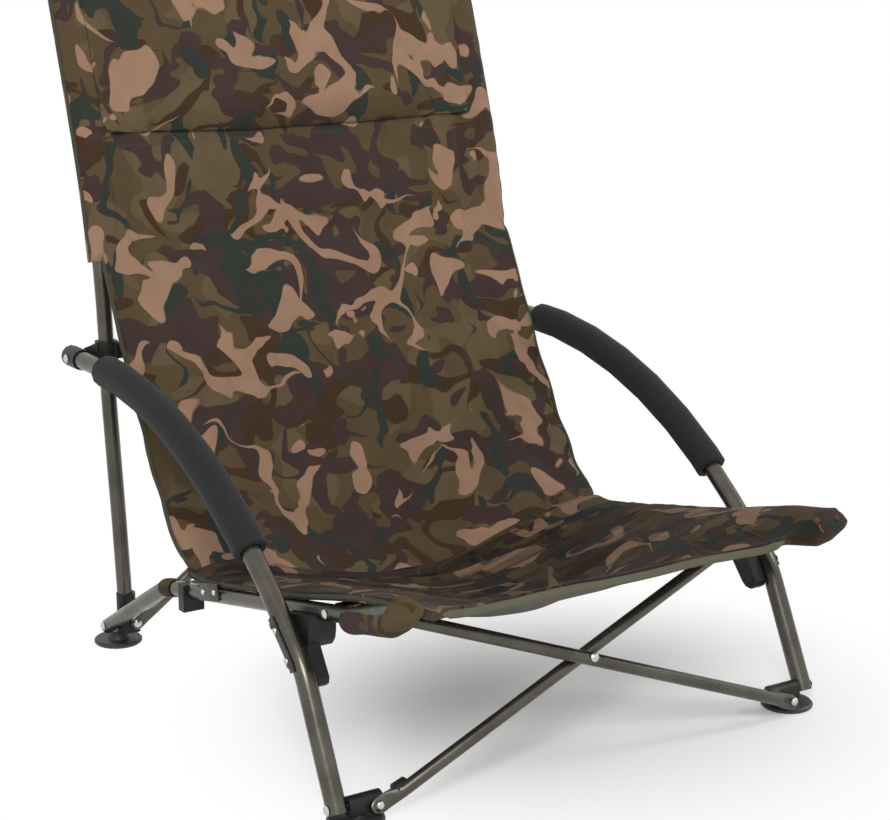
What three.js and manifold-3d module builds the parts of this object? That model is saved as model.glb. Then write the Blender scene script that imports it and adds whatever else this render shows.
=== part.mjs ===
import * as THREE from 'three';
import { mergeVertices } from 'three/addons/utils/BufferGeometryUtils.js';
import Module from 'manifold-3d';

const wasm = await Module();
wasm.setup();

// Lengths are in mm and angles in degrees. The front is towards -Y, the right-hand side is +X.

// Tube and moulding diameters.
const legTubeDiameter = 21;
const uprightTubeDiameter = 18;
const railTubeDiameter = 18;
const braceTubeDiameter = 14;
const gripDiameter = 37;
const mudDiscDiameter = 58;

// The legs' half spread is measured from the middle of the chair, and each inset from the legs.
const legHalfSpread = 302;
const uprightFootInset = 50;
const uprightKneeInset = 45;
const mudDiscFrontInset = 22;
const mudDiscRearInset = 42;
const frontBraceFootInset = 40;
const frontBraceRailInset = 64;
const rearBraceInset = 57;

// Leg and arm: one tube from the front foot pin over a knee to the arm pin.
const footPinBack = -301;
const footPinUp = 19;
const legKneeBack = -240;
const legKneeUp = 145;
const legKneeRadius = 90;
const armCrownBack = 0;
const armCrownRadius = 600;
const armPinBack = 293;
const armPinHeight = 360;
const legEndBelowPin = 6;
const armEndBehindPin = 12;
const gripSetback = 84;
const gripLength = 372;

// Back upright: a foot, two opposite bends, then one long bend into the recline.
const uprightFootBack = 292;
const uprightEndUp = 25;
const uprightKneeUp = 160;
const uprightWaistBack = 267;
const uprightWaistUp = 318;
const uprightWaistRadius = 150;
const reclineBendUp = 484;
const reclineBendRadius = 863;
const reclineAngle = 18.3;
const backHeight = 800;

// Seat rail: from the rear foot pin over a bend to the raised front tip.
const railPinUp = 27;
const railEndBehindPin = 8;
const railBendBack = 126;
const railBendUp = 121;
const railBendRadius = 70;
const railNoseBack = -284;
const railNoseUp = 205;
const railNoseRadius = 110;
const railTipBack = -368;
const railTipUp = 234;
const frontPinBack = -250;

// Crossed braces.
const rearBraceFootUp = 28;
const rearBraceLean = 9.7;
const plateHalfWidth = 8.5;
const plateHalfThickness = 2;
const plateLength = 13;
const plateTaper = 16;
const frontBraceFootUp = 16;

// Moulded parts.
const socketWall = 2.2;
const socketTopUp = 64;
const socketBaseUp = 15;
const mudDiscThickness = 6;
const mudDiscEdgeRound = 1.8;
const domeDiameter = 27;
const collarHeight = 25;
const collarUp = 369;
const collarWall = 3.6;
const collarPlateThickness = 5;
const collarEyeRadius = 10.5;
const lobeHalfHeight = 9;
const lobeFrontReach = 7;
const lobeBackReach = 6;
const capWall = 1.6;
const capLength = 30;
const capEndThickness = 2.4;
const cradleReach = 62;
const cradleWall = 4.6;
const cradleTailWidth = 15;
const cradleTailShares = [
  [0.1, -0.3], [-0.46, -0.96], [-0.56, -1.03], [-0.7, -1.04], [-0.8, -0.97],
  [-0.82, -0.86], [-0.56, -0.44], [-0.5, -0.26],
];
const cradleLobeShares = [
  [0.2, -0.03], [0.16, -0.22], [0.06, -0.36], [-0.1, -0.46], [-0.3, -0.5],
  [-0.48, -0.45], [-0.58, -0.32], [-0.61, -0.16], [-0.6, 0.13],
];
const strapThickness = 1.8;
const strapRivetShares = [0.14, 0.86];
const strapHalfWidth = 4;
const clampWidth = 13;
const clampWall = 3.6;
const clampBack = 64;
const clampSkirt = 13;
const loopWidth = 30;
const loopWall = 1.6;
const loopBack = 98;
const swivelHubRadius = 8;
const yokeHalfDepth = 9;
const yokeBaseUp = 9.4;
const yokeWidth = 38;
const topPlugHeight = 7;

// Rivets.
const pinRadius = 2.6;
const pinHeadRadius = 5.2;
const pinHeadHeight = 2.4;
const pinBlindDepth = 3;
const headShoulderShare = 0.72;

// Cloth.
const seatThickness = 8;
const seatFront = -352;
const seatRear = 70;
const seatCornerReach = 26;
const seatShoulder = 66;
const seatSag = 66;
const seatFrontSag = 34;
const seatRearSag = 50;
const seatRearLift = 9;
const seatFoldDepth = 3;
const seatFolds = 6;
const seatFoldFan = 30;
const backThickness = 5;
const backSag = 26;
const sleeveLowUp = 472;
const backTopDrop = 6;
const lowerBackInset = 22;
const lowerBackCornerBack = 112;
const lowerBackCornerUp = 170;
const lowerBackFootBack = 60;
const lowerBackClearance = 2.2;
const lowerBackFold = 3;
const lowerBackFolds = 3;
const padInset = 20;
const padHeight = 188;
const padTopDrop = 12;
const padDepth = 26;
const padEdgeDepth = 5;
const pocketWall = 3;
const pocketHang = 7;
const pocketLength = 92;
const pocketClosure = 10;
const pocketSeatGap = 1.5;

// Clearances.
const seatClearance = 0.3;
const runningClearance = 0.6;
const clothClearance = 0.5;
const hingeClearance = 0.45;
const swingClearance = 1.6;
const weldDistance = 0.0001;
const cuttingReach = 30;
const rightAngle = 90;
const straightAngle = 180;

// Facets.
const tubeSides = 12;
const roundSides = 24;
const pinSides = 12;
const arcStep = 6;
const longArcStep = 3;

const uprightFootHalfSpread = legHalfSpread - uprightFootInset;
const uprightKneeHalfSpread = legHalfSpread - uprightKneeInset;
const mudDiscFrontHalfSpread = legHalfSpread - mudDiscFrontInset;
const mudDiscRearHalfSpread = legHalfSpread - mudDiscRearInset;
const frontBraceFootHalfSpread = legHalfSpread - frontBraceFootInset;
const frontBraceRailHalfSpread = legHalfSpread - frontBraceRailInset;
const rearBraceHalfSpread = legHalfSpread - rearBraceInset;
const legRadius = legTubeDiameter / 2;
const uprightRadius = uprightTubeDiameter / 2;
const railRadius = railTubeDiameter / 2;
const braceRadius = braceTubeDiameter / 2;
const gripRadius = gripDiameter / 2;
const capRadius = legRadius + seatClearance + capWall;
const railHalfSpread = legHalfSpread - gripRadius - hingeClearance - railRadius;
const collarPlateOut = legHalfSpread - capRadius - hingeClearance;
const collarPlateIn = collarPlateOut - collarPlateThickness;
const uprightHalfSpread = collarPlateIn - hingeClearance - uprightRadius;

const acrossAxis = new THREE.Vector3(1, 0, 0);
const backAxis = new THREE.Vector3(0, 1, 0);
const upAxis = new THREE.Vector3(0, 0, 1);

const oliveSteel = { color: 0x5d6152, roughness: 0.38, metalness: 0.75 };
const brightSteel = { color: 0xc9c9c6, roughness: 0.25, metalness: 0.95 };
const blackMoulding = { color: 0x1b1c1c, roughness: 0.5, metalness: 0 };
const greyRubber = { color: 0x2a2b2b, roughness: 0.75, metalness: 0 };
const foam = { color: 0x2d2c2d, roughness: 0.95, metalness: 0 };
const camouflage = { color: 0x5a4c3a, roughness: 0.95, metalness: 0 };

const chair = new THREE.Group();
chair.name = 'folding_bank_chair';

function vector(x, y, z) {
  return new THREE.Vector3(x, y, z);
}

function signedVolume(geometry) {
  const corners = geometry.attributes.position;
  const order = geometry.index.array;
  const a = vector(0, 0, 0);
  const b = vector(0, 0, 0);
  const c = vector(0, 0, 0);
  let volume = 0;
  for (let i = 0; i < order.length; i += 3) {
    a.fromBufferAttribute(corners, order[i]);
    b.fromBufferAttribute(corners, order[i + 1]);
    c.fromBufferAttribute(corners, order[i + 2]);
    volume += a.dot(b.cross(c));
  }
  return volume;
}

function flipped(geometry) {
  const order = Array.from(geometry.index.array);
  for (let i = 0; i < order.length; i += 3) {
    [order[i + 1], order[i + 2]] = [order[i + 2], order[i + 1]];
  }
  geometry.setIndex(order);
  return geometry;
}

function closedBody(points, faces) {
  const geometry = new THREE.BufferGeometry();
  const numbers = points.flatMap((p) => [p.x, p.y, p.z]);
  geometry.setAttribute('position', new THREE.Float32BufferAttribute(numbers, 3));
  geometry.setIndex(faces.flat());
  return signedVolume(geometry) < 0 ? flipped(geometry) : geometry;
}

function welded(geometry) {
  const bare = geometry.clone();
  bare.deleteAttribute('normal');
  bare.deleteAttribute('uv');
  return mergeVertices(bare, weldDistance);
}

function solidOf(geometry) {
  const body = welded(geometry);
  return new wasm.Manifold(new wasm.Mesh({
    numProp: 3,
    vertProperties: new Float32Array(body.attributes.position.array),
    triVerts: new Uint32Array(body.index.array),
  }));
}

function geometryOf(solid) {
  const mesh = solid.getMesh();
  const geometry = new THREE.BufferGeometry();
  const numbers = [];
  for (let i = 0; i < mesh.vertProperties.length; i += mesh.numProp) {
    numbers.push(...mesh.vertProperties.slice(i, i + 3));
  }
  geometry.setAttribute('position', new THREE.Float32BufferAttribute(numbers, 3));
  geometry.setIndex(Array.from(mesh.triVerts));
  return geometry;
}

function joined(pieces) {
  return geometryOf(pieces.map(solidOf).reduce((whole, piece) => whole.add(piece)));
}

function cut(geometry, tools) {
  return geometryOf(tools.map(solidOf).reduce((body, tool) => body.subtract(tool), solidOf(geometry)));
}

function mirrored(geometry) {
  const copy = welded(geometry);
  copy.scale(-1, 1, 1);
  return flipped(copy);
}

function add(name, geometry, finish) {
  const body = welded(geometry).toNonIndexed();
  body.computeVertexNormals();
  const mesh = new THREE.Mesh(body, new THREE.MeshStandardMaterial(finish));
  mesh.name = name;
  chair.add(mesh);
}

function addPair(name, rightGeometry, finish) {
  add(`${name}_r`, rightGeometry, finish);
  add(`${name}_l`, mirrored(rightGeometry), finish);
}

// A path of points with each inner corner replaced by an arc of the given radius.
function rounded(points, radii, step) {
  const path = [points[0].clone()];
  for (let i = 1; i < points.length - 1; i += 1) {
    const before = points[i - 1].clone().sub(points[i]).normalize();
    const after = points[i + 1].clone().sub(points[i]).normalize();
    const turn = Math.PI - before.angleTo(after);
    const reach = radii[i - 1] * Math.tan(turn / 2);
    const bisector = before.clone().add(after).normalize();
    const centre = points[i].clone().addScaledVector(bisector, radii[i - 1] / Math.cos(turn / 2));
    const start = points[i].clone().addScaledVector(before, reach).sub(centre);
    const axis = before.clone().cross(after).normalize();
    const pieces = Math.max(2, Math.ceil(THREE.MathUtils.radToDeg(turn) / step));
    for (let k = 0; k <= pieces; k += 1) {
      path.push(start.clone().applyAxisAngle(axis, -turn * k / pieces).add(centre));
    }
  }
  path.push(points[points.length - 1].clone());
  return path;
}

function lengths(path) {
  const totals = [0];
  for (let i = 1; i < path.length; i += 1) {
    totals.push(totals[i - 1] + path[i].distanceTo(path[i - 1]));
  }
  return totals;
}

function pointAlong(path, distance) {
  const totals = lengths(path);
  let i = 1;
  while (i < path.length - 1 && totals[i] < distance) {
    i += 1;
  }
  const share = (distance - totals[i - 1]) / (totals[i] - totals[i - 1]);
  return path[i - 1].clone().lerp(path[i], share);
}

function pathBetween(path, from, to) {
  const totals = lengths(path);
  const inner = path.filter((point, i) => totals[i] > from + seatClearance && totals[i] < to - seatClearance);
  return [pointAlong(path, from), ...inner.map((p) => p.clone()), pointAlong(path, to)];
}

function tangents(path) {
  return path.map((point, i) => {
    const ahead = path[Math.min(i + 1, path.length - 1)];
    const behind = path[Math.max(i - 1, 0)];
    const out = ahead.clone().sub(point);
    const into = point.clone().sub(behind);
    return out.normalize().add(into.normalize()).normalize();
  });
}

// Rings of equal point count around a path. wide lies in the bending plane, thick along its normal.
function ringsAlong(path, normal, wide, thick, sides) {
  const along = tangents(path);
  return path.map((point, i) => {
    const inPlane = along[i].clone().cross(normal).normalize();
    const offPlane = inPlane.clone().cross(along[i]).normalize();
    const ring = [];
    for (let k = 0; k < sides; k += 1) {
      const angle = 2 * Math.PI * k / sides;
      ring.push(point.clone()
        .addScaledVector(inPlane, wide[i] * Math.cos(angle))
        .addScaledVector(offPlane, thick[i] * Math.sin(angle)));
    }
    return ring;
  });
}

function bandFaces(startA, startB, count, around) {
  const faces = [];
  for (let k = 0; k < around; k += 1) {
    const next = (k + 1) % count;
    faces.push([startA + k, startA + next, startB + next]);
    faces.push([startA + k, startB + next, startB + k]);
  }
  return faces;
}

function rod(rings) {
  const count = rings[0].length;
  const points = rings.flat();
  const faces = [];
  for (let i = 1; i < rings.length; i += 1) {
    faces.push(...bandFaces((i - 1) * count, i * count, count, count));
  }
  for (let k = 1; k < count - 1; k += 1) {
    const last = (rings.length - 1) * count;
    faces.push([0, k + 1, k]);
    faces.push([last, last + k, last + k + 1]);
  }
  return closedBody(points, faces);
}

function sleeve(outerRings, innerRings) {
  const count = outerRings[0].length;
  const points = [...outerRings.flat(), ...innerRings.flat()];
  const shift = outerRings.length * count;
  const last = (outerRings.length - 1) * count;
  const faces = [];
  for (let i = 1; i < outerRings.length; i += 1) {
    faces.push(...bandFaces((i - 1) * count, i * count, count, count));
    faces.push(...bandFaces(shift + i * count, shift + (i - 1) * count, count, count));
  }
  faces.push(...bandFaces(shift, 0, count, count));
  faces.push(...bandFaces(last, shift + last, count, count));
  return closedBody(points, faces);
}

function tube(path, normal, radius) {
  const radii = path.map(() => radius);
  return rod(ringsAlong(path, normal, radii, radii, tubeSides));
}

function hollow(path, normal, outer, inner, sides) {
  const outers = path.map(() => outer);
  const inners = path.map(() => inner);
  return sleeve(
    ringsAlong(path, normal, outers, outers, sides),
    ringsAlong(path, normal, inners, inners, sides),
  );
}

function straight(from, to) {
  return [from, from.clone().lerp(to, 1 / 2), to];
}

function cylinder(centre, axis, radius, length, sides) {
  const geometry = new THREE.CylinderGeometry(radius, radius, length, sides);
  geometry.applyQuaternion(new THREE.Quaternion().setFromUnitVectors(backAxis, axis));
  geometry.translate(centre.x, centre.y, centre.z);
  return geometry;
}

function block(low, high) {
  const size = high.clone().sub(low);
  const geometry = new THREE.BoxGeometry(size.x, size.y, size.z);
  const middle = low.clone().add(high).multiplyScalar(1 / 2);
  geometry.translate(middle.x, middle.y, middle.z);
  return geometry;
}

// A plate drawn in the side view (back, up) and given its width across.
function sidePlate(outline, low, high) {
  const shape = new THREE.Shape(outline.map(([back, up]) => new THREE.Vector2(back, up)));
  const geometry = new THREE.ExtrudeGeometry(shape, { depth: high - low, bevelEnabled: false });
  geometry.applyMatrix4(new THREE.Matrix4().makeBasis(backAxis, upAxis, acrossAxis));
  geometry.translate(low, 0, 0);
  return geometry;
}

function turned(profile, centre, axis, sides) {
  const geometry = new THREE.LatheGeometry(profile.map(([r, h]) => new THREE.Vector2(r, h)), sides);
  geometry.applyQuaternion(new THREE.Quaternion().setFromUnitVectors(backAxis, axis));
  geometry.translate(centre.x, centre.y, centre.z);
  return geometry;
}

// A pin with one domed head outside its far face and its shank ending inside a moulding.
function stud(from, to) {
  const axis = to.clone().sub(from);
  const high = axis.length() + seatClearance;
  return turned([
    [0, 0],
    [pinRadius, 0],
    [pinRadius, high],
    [pinHeadRadius, high],
    [pinHeadRadius * headShoulderShare, high + pinHeadHeight * headShoulderShare],
    [0, high + pinHeadHeight],
  ], from, axis.normalize(), pinSides);
}

// A rivet from one face to another with a domed head outside each face.
function rivet(from, to) {
  const axis = to.clone().sub(from);
  const length = axis.length();
  const low = -seatClearance;
  const high = length + seatClearance;
  return turned([
    [0, low - pinHeadHeight],
    [pinHeadRadius * headShoulderShare, low - pinHeadHeight * headShoulderShare],
    [pinHeadRadius, low],
    [pinRadius, low],
    [pinRadius, high],
    [pinHeadRadius, high],
    [pinHeadRadius * headShoulderShare, high + pinHeadHeight * headShoulderShare],
    [0, high + pinHeadHeight],
  ], from, axis.normalize(), pinSides);
}

function pinHole(from, to) {
  const axis = to.clone().sub(from);
  const middle = from.clone().lerp(to, 1 / 2);
  const radius = (pinRadius + seatClearance) / Math.cos(Math.PI / pinSides);
  return cylinder(middle, axis.clone().normalize(), radius, axis.length(), pinSides);
}

function circleOutline(back, up, radius, fromDegrees, toDegrees, pieces) {
  const outline = [];
  for (let k = 0; k <= pieces; k += 1) {
    const angle = THREE.MathUtils.degToRad(fromDegrees + (toDegrees - fromDegrees) * k / pieces);
    outline.push([back + radius * Math.cos(angle), up + radius * Math.sin(angle)]);
  }
  return outline;
}

// Centre lines, right-hand side.
function towards(from, to, distance) {
  return from.clone().addScaledVector(to.clone().sub(from).normalize(), distance);
}

const footPin = vector(legHalfSpread, footPinBack, footPinUp);
const legKnee = vector(legHalfSpread, legKneeBack, legKneeUp);
const armCrown = vector(legHalfSpread, armCrownBack, armPinHeight);
const armPin = vector(legHalfSpread, armPinBack, armPinHeight);
const legPath = rounded([
  towards(footPin, legKnee, -legEndBelowPin),
  legKnee,
  armCrown,
  towards(armPin, armCrown, -armEndBehindPin),
], [legKneeRadius, armCrownRadius], arcStep);

const recline = THREE.MathUtils.degToRad(reclineAngle);
const uprightPath = rounded([
  vector(uprightFootHalfSpread, uprightFootBack, uprightEndUp),
  vector(uprightKneeHalfSpread, uprightFootBack, uprightKneeUp),
  vector(uprightHalfSpread, uprightWaistBack, uprightWaistUp),
  vector(uprightHalfSpread, uprightWaistBack, reclineBendUp),
  vector(
    uprightHalfSpread,
    uprightWaistBack + (backHeight - reclineBendUp) * Math.tan(recline),
    backHeight,
  ),
], [uprightWaistRadius, uprightWaistRadius, reclineBendRadius], longArcStep);

const railPin = vector(railHalfSpread, uprightFootBack, railPinUp);
const railBend = vector(railHalfSpread, railBendBack, railBendUp);
const railPath = rounded([
  towards(railPin, railBend, -railEndBehindPin),
  railBend,
  vector(railHalfSpread, railNoseBack, railNoseUp),
  vector(railHalfSpread, railTipBack, railTipUp),
], [railBendRadius, railNoseRadius], arcStep);

function atBack(path, back) {
  for (let i = 1; i < path.length; i += 1) {
    const low = Math.min(path[i - 1].y, path[i].y);
    const high = Math.max(path[i - 1].y, path[i].y);
    if (back >= low && back <= high && high > low) {
      return path[i - 1].clone().lerp(path[i], (back - path[i - 1].y) / (path[i].y - path[i - 1].y));
    }
  }
  const first = path[0];
  const last = path[path.length - 1];
  return (Math.abs(first.y - back) < Math.abs(last.y - back) ? first : last).clone();
}

function atHeight(path, up) {
  for (let i = 1; i < path.length; i += 1) {
    if (up >= path[i - 1].z && up <= path[i].z) {
      return path[i - 1].clone().lerp(path[i], (up - path[i - 1].z) / (path[i].z - path[i - 1].z));
    }
  }
  return (up < path[0].z ? path[0] : path[path.length - 1]).clone();
}

// Where the leg passes the rail in the side view.
let crossing = atBack(railPath, legKneeBack);
for (let back = legKneeBack; back < armCrownBack; back += pinRadius) {
  const onLeg = atBack(legPath, back);
  if (onLeg.z <= atBack(railPath, back).z) {
    crossing = onLeg;
  }
}

// Rails, with holes for the rear pin and the front pin.
const boreReach = uprightRadius + seatClearance;
const socketRadius = boreReach + socketWall;
const railPinIn = vector(uprightFootHalfSpread + boreReach + seatClearance, uprightFootBack, railPinUp);
const railPinOut = vector(railHalfSpread + railRadius, uprightFootBack, railPinUp);
const frontPin = atBack(railPath, frontPinBack);
const swivelOut = railHalfSpread - railRadius - hingeClearance;
const swivelIn = frontBraceRailHalfSpread - swivelHubRadius;
const frontPinOut = vector(railHalfSpread + railRadius, frontPin.y, frontPin.z);
const frontPinIn = vector(swivelOut - pinBlindDepth, frontPin.y, frontPin.z);
const through = acrossAxis.clone().multiplyScalar(pinHeadHeight);
addPair('rail', cut(tube(railPath, acrossAxis, railRadius), [
  pinHole(railPinIn, railPinOut.clone().add(through)),
  pinHole(frontPinIn, frontPinOut.clone().add(through)),
]), oliveSteel);

// Uprights and the plugs in their tops.
addPair('upright', tube(uprightPath, acrossAxis, uprightRadius), oliveSteel);
const uprightTop = uprightPath[uprightPath.length - 1];
const topDirection = vector(0, Math.sin(recline), Math.cos(recline));
const plugRoundShare = 0.7;
addPair('upright_plug', turned([
  [0, seatClearance],
  [uprightRadius, seatClearance],
  [uprightRadius, topPlugHeight * plugRoundShare],
  [uprightRadius * plugRoundShare, topPlugHeight],
  [0, topPlugHeight],
], uprightTop, topDirection, roundSides), blackMoulding);

// Crossed brace planes. Every brace end is a flattened plate that turns about the plane's normal.
function planeNormal(leanDegrees) {
  const lean = THREE.MathUtils.degToRad(leanDegrees);
  return vector(0, Math.cos(lean), -Math.sin(lean));
}
const braceGap = braceTubeDiameter + runningClearance;
const rearNormal = planeNormal(rearBraceLean);
const socketFace = uprightFootBack - socketRadius;
const rearPlateStep = swingClearance + plateHalfThickness;

// Moulded rear sockets. The right-hand one has a spacer that carries the front brace.
function socket(spacer) {
  const lugEnd = railHalfSpread - railRadius - hingeClearance;
  const face = socketFace - spacer;
  const pivot = vector(rearBraceHalfSpread, face - rearPlateStep, rearBraceFootUp);
  const body = joined([
    cylinder(
      vector(uprightFootHalfSpread, uprightFootBack, (socketBaseUp + socketTopUp) / 2),
      upAxis,
      socketRadius,
      socketTopUp - socketBaseUp,
      roundSides,
    ),
    block(
      vector(rearBraceHalfSpread - pinHeadRadius, face, socketBaseUp),
      vector(uprightFootHalfSpread, uprightFootBack, rearBraceFootUp + pinHeadRadius),
    ),
    cylinder(
      vector((uprightFootHalfSpread + lugEnd) / 2, uprightFootBack, railPinUp),
      acrossAxis,
      pinHeadRadius + capWall,
      lugEnd - uprightFootHalfSpread,
      roundSides,
    ),
  ]);
  const lean = tangents(uprightPath)[0];
  return cut(body, [
    tube(straight(
      uprightPath[0].clone().addScaledVector(lean, -seatClearance),
      uprightPath[0].clone().addScaledVector(lean, socketTopUp),
    ), acrossAxis, boreReach),
    pinHole(
      pivot,
      pivot.clone().addScaledVector(rearNormal, rearPlateStep + pinBlindDepth + seatClearance),
    ),
    pinHole(railPinIn.clone().addScaledVector(acrossAxis, -seatClearance), railPinOut),
  ]);
}
add('rear_socket_l', mirrored(socket(0)), blackMoulding);
add('rear_socket_r', socket(braceGap), blackMoulding);
addPair('rail_pin', stud(railPinIn, railPinOut), brightSteel);

// Mud discs: flat underneath, with a low dome that carries the leg.
function mudDisc(halfSpread, back, domeTop) {
  const radius = mudDiscDiameter / 2;
  const dome = domeDiameter / 2;
  const shoulderShare = 0.8;
  return turned([
    [0, 0],
    [radius - mudDiscEdgeRound, 0],
    [radius, mudDiscEdgeRound],
    [radius, mudDiscThickness - mudDiscEdgeRound],
    [radius - mudDiscEdgeRound, mudDiscThickness],
    [dome, mudDiscThickness],
    [dome * shoulderShare, domeTop * shoulderShare],
    [dome * shoulderShare * shoulderShare, domeTop],
    [0, domeTop],
  ], vector(halfSpread, back, 0), upAxis, roundSides);
}
addPair(
  'rear_disc',
  mudDisc(mudDiscRearHalfSpread, -footPinBack, socketBaseUp - seatClearance),
  greyRubber,
);
addPair('front_disc', mudDisc(mudDiscFrontHalfSpread, footPinBack, yokeBaseUp - seatClearance), greyRubber);

// Leg and arm tubes.
const yokeOut = legHalfSpread - legRadius - hingeClearance;
const yokeIn = yokeOut - yokeWidth;
const legPinIn = vector(yokeOut - pinBlindDepth, footPinBack, footPinUp);
const legPinOut = vector(legHalfSpread + legRadius, footPinBack, footPinUp);
const armPinIn = vector(collarPlateIn, armPinBack, armPinHeight);
const armPinOut = vector(legHalfSpread + capRadius, armPinBack, armPinHeight);
addPair('arm_leg', cut(tube(legPath, acrossAxis, legRadius), [
  pinHole(legPinIn, legPinOut.clone().add(through)),
  pinHole(armPinIn, armPinOut),
]), oliveSteel);
addPair('foot_pin', stud(legPinIn, legPinOut), brightSteel);
addPair('arm_pin', rivet(armPinIn, armPinOut), brightSteel);

const legTotal = lengths(legPath)[legPath.length - 1];
const gripEnd = legTotal - armEndBehindPin - gripSetback;
addPair('arm_grip', hollow(
  pathBetween(legPath, gripEnd - gripLength, gripEnd),
  acrossAxis,
  gripRadius,
  legRadius + seatClearance,
  tubeSides,
), foam);

const armEnd = legPath[legPath.length - 1];
const capStart = pointAlong(legPath, legTotal - capLength);
const capTip = towards(armEnd, capStart, -seatClearance - capEndThickness);
const capHollowEnd = towards(armEnd, capStart, -seatClearance);
addPair('arm_cap', cut(tube(straight(capStart, capTip), acrossAxis, capRadius), [
  tube(straight(towards(capStart, armEnd, -capLength), capHollowEnd), acrossAxis, legRadius + seatClearance),
  pinHole(armPinIn, armPinOut),
]), blackMoulding);

// Collars that slide on the uprights. The plate outside carries the arm, the lobe inside a brace.
const collarAt = atHeight(uprightPath, collarUp);
const collarTilt = Math.atan2(
  atHeight(uprightPath, collarUp + collarHeight / 2).y - atHeight(uprightPath, collarUp - collarHeight / 2).y,
  collarHeight,
);
const collarRadius = uprightRadius + runningClearance + collarWall;

function collar(spacer) {
  const turn = new THREE.Matrix4().makeRotationX(-collarTilt).setPosition(collarAt);
  const eye = vector(0, armPinBack, armPinHeight).sub(vector(0, collarAt.y, collarAt.z));
  eye.applyAxisAngle(acrossAxis, collarTilt);
  const plate = sidePlate([
    ...circleOutline(eye.y, eye.z, collarEyeRadius, -rightAngle, rightAngle, pinSides),
    [-collarRadius / 2, collarHeight / 2],
    [-collarRadius / 2, -collarHeight / 2],
  ], collarPlateIn - collarAt.x, collarPlateOut - collarAt.x);
  const lobeEnd = rearBraceHalfSpread - collarAt.x;
  const lobeBack = lobeBackReach + spacer;
  const lobe = joined([
    block(vector(lobeEnd, -lobeFrontReach, -lobeHalfHeight), vector(0, lobeBack, lobeHalfHeight)),
    cylinder(
      vector(lobeEnd, (lobeBack - lobeFrontReach) / 2, 0),
      backAxis,
      lobeHalfHeight,
      lobeBack + lobeFrontReach,
      roundSides,
    ),
  ]);
  const ring = cylinder(vector(0, 0, 0), upAxis, collarRadius, collarHeight, roundSides);
  const bore = cylinder(
    vector(0, 0, 0),
    upAxis,
    uprightRadius + runningClearance,
    collarHeight + cuttingReach,
    tubeSides,
  );
  const body = cut(joined([ring, plate, lobe]), [bore]);
  body.applyMatrix4(turn);
  return cut(body, [pinHole(armPinIn.clone().sub(through), armPinOut)]);
}
add('collar_l', mirrored(collar(0)), blackMoulding);
add('collar_r', collar(braceGap), blackMoulding);

// Moulded cradles: an open half-round channel under each rail, riveted to the leg.
const cradleOut = legHalfSpread - legRadius - seatClearance;
const cradleIn = railHalfSpread - railRadius - cradleWall;
function cradlePlate(shares, low, high) {
  const outline = shares.map(([back, up]) => [
    crossing.y + back * cradleReach,
    crossing.z + up * cradleReach,
  ]);
  return sidePlate(outline, low, high);
}
addPair('cradle', cut(joined([
  cradlePlate(cradleLobeShares, cradleIn, cradleOut),
  cradlePlate(cradleTailShares, cradleOut - cradleTailWidth, cradleOut),
]), [
  tube(railPath, acrossAxis, railRadius + seatClearance),
]), blackMoulding);

// Thin straps outside the leg that take the cradle rivets.
const legTotals = lengths(legPath);
const aboveCrossing = legPath.findIndex((point) => point.z > crossing.z);
const crossingAlong = legTotals[aboveCrossing] - legPath[aboveCrossing].distanceTo(crossing);
const strapPath = pathBetween(legPath, crossingAlong - cradleReach, crossingAlong);
const strapEdges = tangents(strapPath).map((along) => along.cross(acrossAxis).setLength(strapHalfWidth));
const strapOutline = [
  ...strapPath.map((point, i) => point.clone().add(strapEdges[i])),
  ...strapPath.map((point, i) => point.clone().sub(strapEdges[i])).reverse(),
].map((point) => [point.y, point.z]);
const strapIn = legHalfSpread + legRadius + seatClearance;
const strapOut = strapIn + strapThickness;
const strapLength = lengths(strapPath)[strapPath.length - 1];
const strapHeads = strapRivetShares.map((share) => {
  const spot = pointAlong(strapPath, strapLength * share);
  const start = vector(strapIn + strapThickness / 2, spot.y, spot.z);
  return stud(start, vector(strapOut - seatClearance, spot.y, spot.z));
});
addPair('cradle_strap', joined([sidePlate(strapOutline, strapIn, strapOut), ...strapHeads]), brightSteel);

// Front foot brackets. They turn on the foot pins and hold the lower ends of the front braces.
const frontRise = frontPin.z - footPinUp;
const frontRun = frontPin.y - footPinBack;
const frontLean = THREE.MathUtils.radToDeg(Math.atan2(frontRun, frontRise));
const frontNormal = planeNormal(frontLean);
const frontUpward = vector(0, frontRun, frontRise).normalize();
const plateStep = hingeClearance + plateHalfThickness;

function inFrontPlane(origin, halfSpread, offset, up) {
  const spot = vector(halfSpread, origin.y, origin.z).addScaledVector(frontNormal, offset);
  return spot.addScaledVector(frontUpward, (up - spot.z) / frontUpward.z);
}

function leaningBlock(origin, low, high, front, back, lowUp, highUp) {
  const corners = [[front, lowUp], [back, lowUp], [back, highUp], [front, highUp]];
  const outline = corners.map(([offset, up]) => {
    const spot = inFrontPlane(origin, 0, offset, up);
    return [spot.y, spot.z];
  });
  return sidePlate(outline, low, high);
}

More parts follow.
